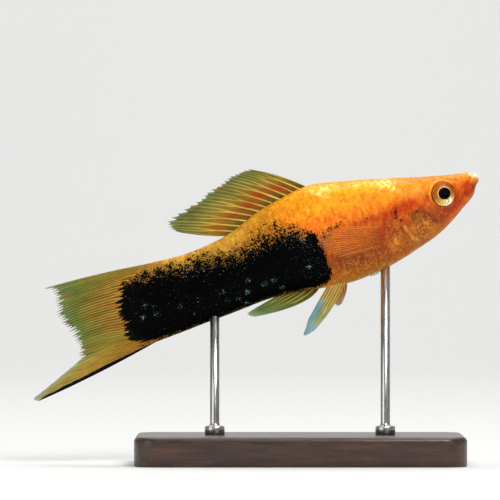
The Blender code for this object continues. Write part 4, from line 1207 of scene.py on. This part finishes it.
# Each fin's colours along its web and its rays, its patches' colour, and how far web and rays hide what is
# behind them
FIN_LOOK = dict(deep="b8421a", cover=0.97, thins=0.95, ray_cover=0.97, even=1.0)
FIN_LOOKS = {
    "dorsal_fin": dict(
        web=((0.0, "584c16"), (0.2, "766422"), (0.42, "968028"),
             (0.62, "867a30"), (0.85, "667030"), (1.0, "748052")),
        rays=((0.0, "fde468"), (0.3, "f4d05a"), (0.5, "ccae4a"),
              (0.7, "aa9e46"), (0.9, "868a4a"), (1.0, "bcbc98")),
        deep="a84010", thins=0.97, ray_cover=0.98, even=0.0, streak="b4661e", streaked=0.4,
    ),
    "caudal_fin": dict(
        web=((0.0, "94601c"), (0.25, "7e6420"), (0.5, "64601e"),
             (0.75, "566826"), (0.92, "5c7238"), (1.0, "809468")),
        rays=((0.0, "e8a63c"), (0.25, "c89c40"), (0.5, "a8923c"),
              (0.75, "80903e"), (0.9, "8ea06a"), (1.0, "b4c0a0")),
        deep="9a8c34", ray_cover=0.98, streak="b05c1c", streaked=0.45,
    ),
    "sword": dict(
        web=((0.0, "a0681e"), (0.3, "9c7624"), (0.6, "b09034"), (0.85, "a89c48"), (1.0, "a0ae86")),
        rays=((0.0, "dc9a30"), (0.3, "d4a840"), (0.6, "dab84c"), (0.85, "d2c064"), (1.0, "d4d8c0")),
        thins=0.9, streak="c06c20", streaked=0.3,
    ),
    "gonopodium": dict(
        web=((0.0, "4e3a16"), (0.4, "565420"), (0.8, "3c5c26"), (1.0, "6c8c60")),
        rays=((0.0, "b48c3c"), (0.4, "b0a048"), (0.8, "86a456"), (1.0, "c4d8b8")),
        thins=0.9, streak="c8c860", streaked=0.4,
    ),
    "pelvic_fin_right": dict(
        web=((0.0, "c48a38"), (0.4, "9a8838"), (0.75, "8a9a58"), (1.0, "88b4b8")),
        rays=((0.0, "f8d47c"), (0.4, "e4c46a"), (0.75, "c8cc90"), (1.0, "e0f4fa")),
        deep="4a98a8", cover=0.95, even=0.6, streak="f4f0d4", streaked=0.35,
    ),
    "pelvic_fin_left": dict(
        web=((0.0, "cc8428"), (0.5, "c07c24"), (1.0, "c49a44")),
        rays=((0.0, "eec468"), (0.5, "dcb050"), (1.0, "e0d8b0")),
        streak="e8c060", streaked=0.25,
    ),
    "pectoral_fin_right": dict(
        web=((0.0, "b4541a"), (0.2, "cc6c24"), (0.5, "d87428"), (1.0, "dc8030")),
        rays=((0.0, "983610"), (0.12, "c86c28"), (0.35, "eca048"), (0.7, "f8b054"), (1.0, "e89c48")),
        # deep here is the painted highlight's colour along the first ray
        deep="eca050", cover=0.25, thins=0.5, ray_cover=0.55, streak="b04c14", streaked=0.4,
    ),
    "pectoral_fin_left": dict(
        web=((0.0, "b8561c"), (0.5, "b86a30"), (0.8, "8a9a84"), (1.0, "8fb0a8")),
        rays=((0.0, "cf7a34"), (0.5, "cc8a4a"), (0.8, "98a890"), (1.0, "a8c4bc")),
        cover=0.6, thins=0.9, ray_cover=0.8, streak="c87030", streaked=0.2,
    ),
}


def make_fins(skin):
    """All the fins, each with its own material."""
    for name, shape in FINS.items():
        web = name.replace("_fin", "").replace("_right", "") + "_web"
        material = fin_material(web, {**FIN_LOOK, **FIN_LOOKS[name]})
        make_fin(name, skin, {**FIN_SHAPE, **shape}, material)


def turned(profile, sides):
    """Points and faces of a profile of (radius, height) turned about an axis, closed on the axis."""
    middle = profile[1:-1]
    turns = np.arange(sides) * 2 * math.pi / sides
    points = [(0, 0, profile[0][1]), (0, 0, profile[-1][1])]
    for radius, height in middle:
        points += [(radius * math.cos(t), radius * math.sin(t), height) for t in turns]
    faces = ring_faces(len(middle), sides, 2)
    last = 2 + (len(middle) - 1) * sides
    for k in range(sides):
        j = (k + 1) % sides
        faces += [(0, 2 + j, 2 + k), (1, last + k, last + j)]
    return np.array(points, float), faces


def eye_profile():
    """From the back of the eyeball, round its edge, over the iris and the lens in the pupil."""
    r = EYE_RADIUS
    steps = [(0, -EYE_DEPTH), (0.55 * r, -0.88 * EYE_DEPTH), (0.86 * r, -0.52 * EYE_DEPTH), (r, -0.1)]
    steps += [(0.985 * r, 0.1), (0.94 * r, 0.20), (0.90 * r, 0.24)]
    steps += [(share * r, 0.24 + 0.16 * (0.9 - share) / 0.45) for share in np.linspace(0.88, 0.47, 16)]
    steps += [(0.45 * r, 0.385), (0.42 * r, 0.41)]
    steps += [(share * r, 0.41 + 0.13 * (1 - (share / 0.42) ** 2)) for share in np.linspace(0.36, 0.06, 6)]
    return steps + [(0, 0.54)]


def cornea_profile():
    """A thin clear dome, closed beneath."""
    r = 0.985 * EYE_RADIUS
    outer = [(r * math.cos(t), 0.14 + 0.56 * math.sin(t)) for t in np.linspace(0, math.pi / 2, 14)]
    inner = [(0.985 * x, 0.10 + (z - 0.14) * 0.93) for x, z in outer]
    return [(0, inner[-1][1])] + inner[-2::-1] + outer[:-1] + [(0, outer[-1][1])]


def narrowed(points):
    """Points of an eye drawn in along the fish, towards the eye's middle."""
    middle = np.array((EYE_S, 0, 0))
    return middle + (points - middle) * (EYE_NARROW, 1, 1)


def make_eyes():
    """Both eyes, turned a little forward, each with its cornea; the pupil is drawn off the eye's middle."""
    iris, cornea = iris_material(), cornea_material()
    for side, word in ((-1, "right"), (1, "left")):
        outwards = Matrix.Rotation(side * EYE_FORWARD, 3, "Z") @ Vector((0, side, 0))
        turn = np.array(outwards.to_track_quat("Z", "Y").to_matrix())
        middle = np.array((EYE_S, side * EYE_RIM_OUT, EYE_H))
        points, faces = turned(eye_profile(), 96)
        radius = np.hypot(points[:, 0], points[:, 1]) / EYE_RADIUS
        fish = narrowed(points @ turn.T + middle)
        drawn = smooth(0.88, 0.45, radius) * (points[:, 2] > 0)
        fish = fish + drawn[:, None] * (PUPIL_AT[0], 0, PUPIL_AT[1])
        ahead, up = fish[:, 0] - EYE_S, fish[:, 2] - EYE_H
        around = np.arctan2(up, ahead)
        front = np.where(points[:, 2] > -0.2, radius, 1.0)
        pupil = np.hypot(ahead - PUPIL_AT[0], up - PUPIL_AT[1]) / PUPIL_RADIUS
        pupil = np.where(points[:, 2] > 0, pupil, 2.0)
        spoke = np.column_stack([np.cos(around), np.sin(around), radius])
        marks = {"fish": fish, "radius": front, "pupil": pupil, "spoke": spoke}
        marks["turn"] = 0.5 + 0.5 * up / EYE_RADIUS
        eye = mesh_object("eye_" + word, placed(fish), faces, iris, marks)
        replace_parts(eye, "eye_" + word)
        points, faces = turned(cornea_profile(), 72)
        mesh_object("cornea_" + word, placed(narrowed(points @ turn.T + middle)), faces, cornea)


# The stand and the studio


def base_outline(inset):
    """The base's rounded outline, drawn in from its edge."""
    length, width, corner = BASE_SIZE[0] / 2 - inset, BASE_SIZE[1] / 2 - inset, BASE_CORNER - inset
    outline = []
    for quarter, (side_x, side_y) in enumerate(((1, 1), (-1, 1), (-1, -1), (1, -1))):
        for turn in np.linspace(0, math.pi / 2, 13) + quarter * math.pi / 2:
            x = side_x * (length - corner) + corner * math.cos(turn)
            y = side_y * (width - corner) + corner * math.sin(turn)
            outline.append((x, y))
    return np.array(outline)


def make_base(wood):
    """A wooden base with rounded corners and a softened upper edge."""
    top = BASE_SIZE[2]
    levels = [(BASE_FOOT, 0.0), (0.0, BASE_FOOT), (0.0, top - BASE_EDGE)]
    for turn in np.linspace(0, math.pi / 2, 9)[1:]:
        levels.append((BASE_EDGE * (1 - math.cos(turn)), top - BASE_EDGE * (1 - math.sin(turn))))
    points = np.array([(x, y, height) for inset, height in levels for x, y in base_outline(inset)])
    sides = len(points) // len(levels)
    faces = ring_faces(len(levels), sides)
    faces += [tuple(range(sides - 1, -1, -1)), tuple(range(len(points) - sides, len(points)))]
    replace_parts(mesh_object("stand_base", points * MM, faces, wood), "stand_base")


def make_rod(name, x, skin, steel):
    """A polished rod with a turned collar at its foot, run up into the fish's underside."""
    belly = placed(skin.grid[:, SKIN_SIDES // 2]) / MM
    height = np.interp(-x, -belly[:, 0], belly[:, 2]) + 0.6
    foot = BASE_SIZE[2] + 0.02
    profile = [(radius, foot + up) for radius, up in COLLAR]
    profile += [(ROD_RADIUS, height), (0, height + 0.2)]
    points, faces = turned(profile, 48)
    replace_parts(mesh_object(name, (points + (x, 0, 0)) * MM, faces, steel), name)


def make_stand(skin):
    """The base and its two rods."""
    wood, steel = wood_material(), steel_material()
    make_base(wood)
    make_rod("stand_rod_front", ROD_AT, skin, steel)
    make_rod("stand_rod_rear", -ROD_AT, skin, steel)


def plain(name, colour, rough):
    """A material of one colour."""
    shade = Shade(name)
    return shade.done(shade.principled(Base_Color=linear(colour), Roughness=rough))


def make_studio():
    """A pale floor that curves up into a wall behind, and soft lamps."""
    width, back, front, height, bend = 1.6, 1.2, -1.0, 1.0, 0.5
    profile = [(front, 0.0), (back - bend, 0.0)]
    turns = np.linspace(0.1, math.pi / 2, 14)
    profile += [(back - bend + bend * math.sin(t), bend - bend * math.cos(t)) for t in turns]
    profile += [(back, height)]
    points = [(x, y, z) for y, z in profile for x in (-width, width)]
    faces = [(2 * i, 2 * i + 1, 2 * i + 3, 2 * i + 2) for i in range(len(profile) - 1)]
    mesh = bpy.data.meshes.new("studio_floor")
    mesh.from_pydata(points, [], faces)
    mesh.shade_smooth()
    mesh.materials.append(plain("studio_floor", "e2e2e0", 0.7))
    floor = added("studio_floor", mesh)
    lamp("key", (0.14, -0.32, 0.34), 0.20, 1.5)
    lamp("fill", (-0.36, -0.30, 0.14), 0.30, 0.45)
    lamp("top", (0.02, 0.06, 0.42), 0.26, 0.45)
    lamp("wall", (0.0, 0.45, 0.9), 0.8, 7.5, (0.0, 1.0, 0.0))
    world = bpy.data.worlds.new("studio")
    bpy.context.scene.world = world
    world.use_nodes = True
    world.node_tree.nodes["Background"].inputs["Color"].default_value = (0.95, 0.96, 1.0, 1)
    world.node_tree.nodes["Background"].inputs["Strength"].default_value = 0.25


def lamp(name, place, size, power, target=(-0.005, 0, 0.035)):
    """A square area lamp that faces its target."""
    data = bpy.data.lights.new(name, "AREA")
    data.energy = power
    data.size = size
    obj = added(name, data)
    obj.location = place
    towards = Vector(target) - obj.location
    obj.rotation_euler = towards.to_track_quat("-Z", "Y").to_euler()


def make_camera():
    """Level with the fish, square to its right flank, with the photograph's frame."""
    data = bpy.data.cameras.new("camera")
    data.lens = 400
    data.sensor_width = 36
    obj = added("camera", data)
    frame_width, middle = 0.085, Vector((-0.0085, 0.0, 0.0364))
    obj.location = middle + Vector((0, -frame_width * data.lens / data.sensor_width, 0))
    obj.rotation_euler = (math.radians(90), 0, 0)
    bpy.context.scene.camera = obj


def build():
    """The whole scene."""
    bpy.context.scene.view_settings.view_transform = "Standard"
    make_camera()
    make_studio()
    skin = Skin()
    make_skin(skin, skin_material("wet_skin", False))
    scales = skin_material("wet_scales", True)
    make_scales(skin, scales, -1, "right")
    make_scales(skin, scales, 1, "left")
    make_fins(skin)
    make_eyes()
    make_stand(skin)


build()
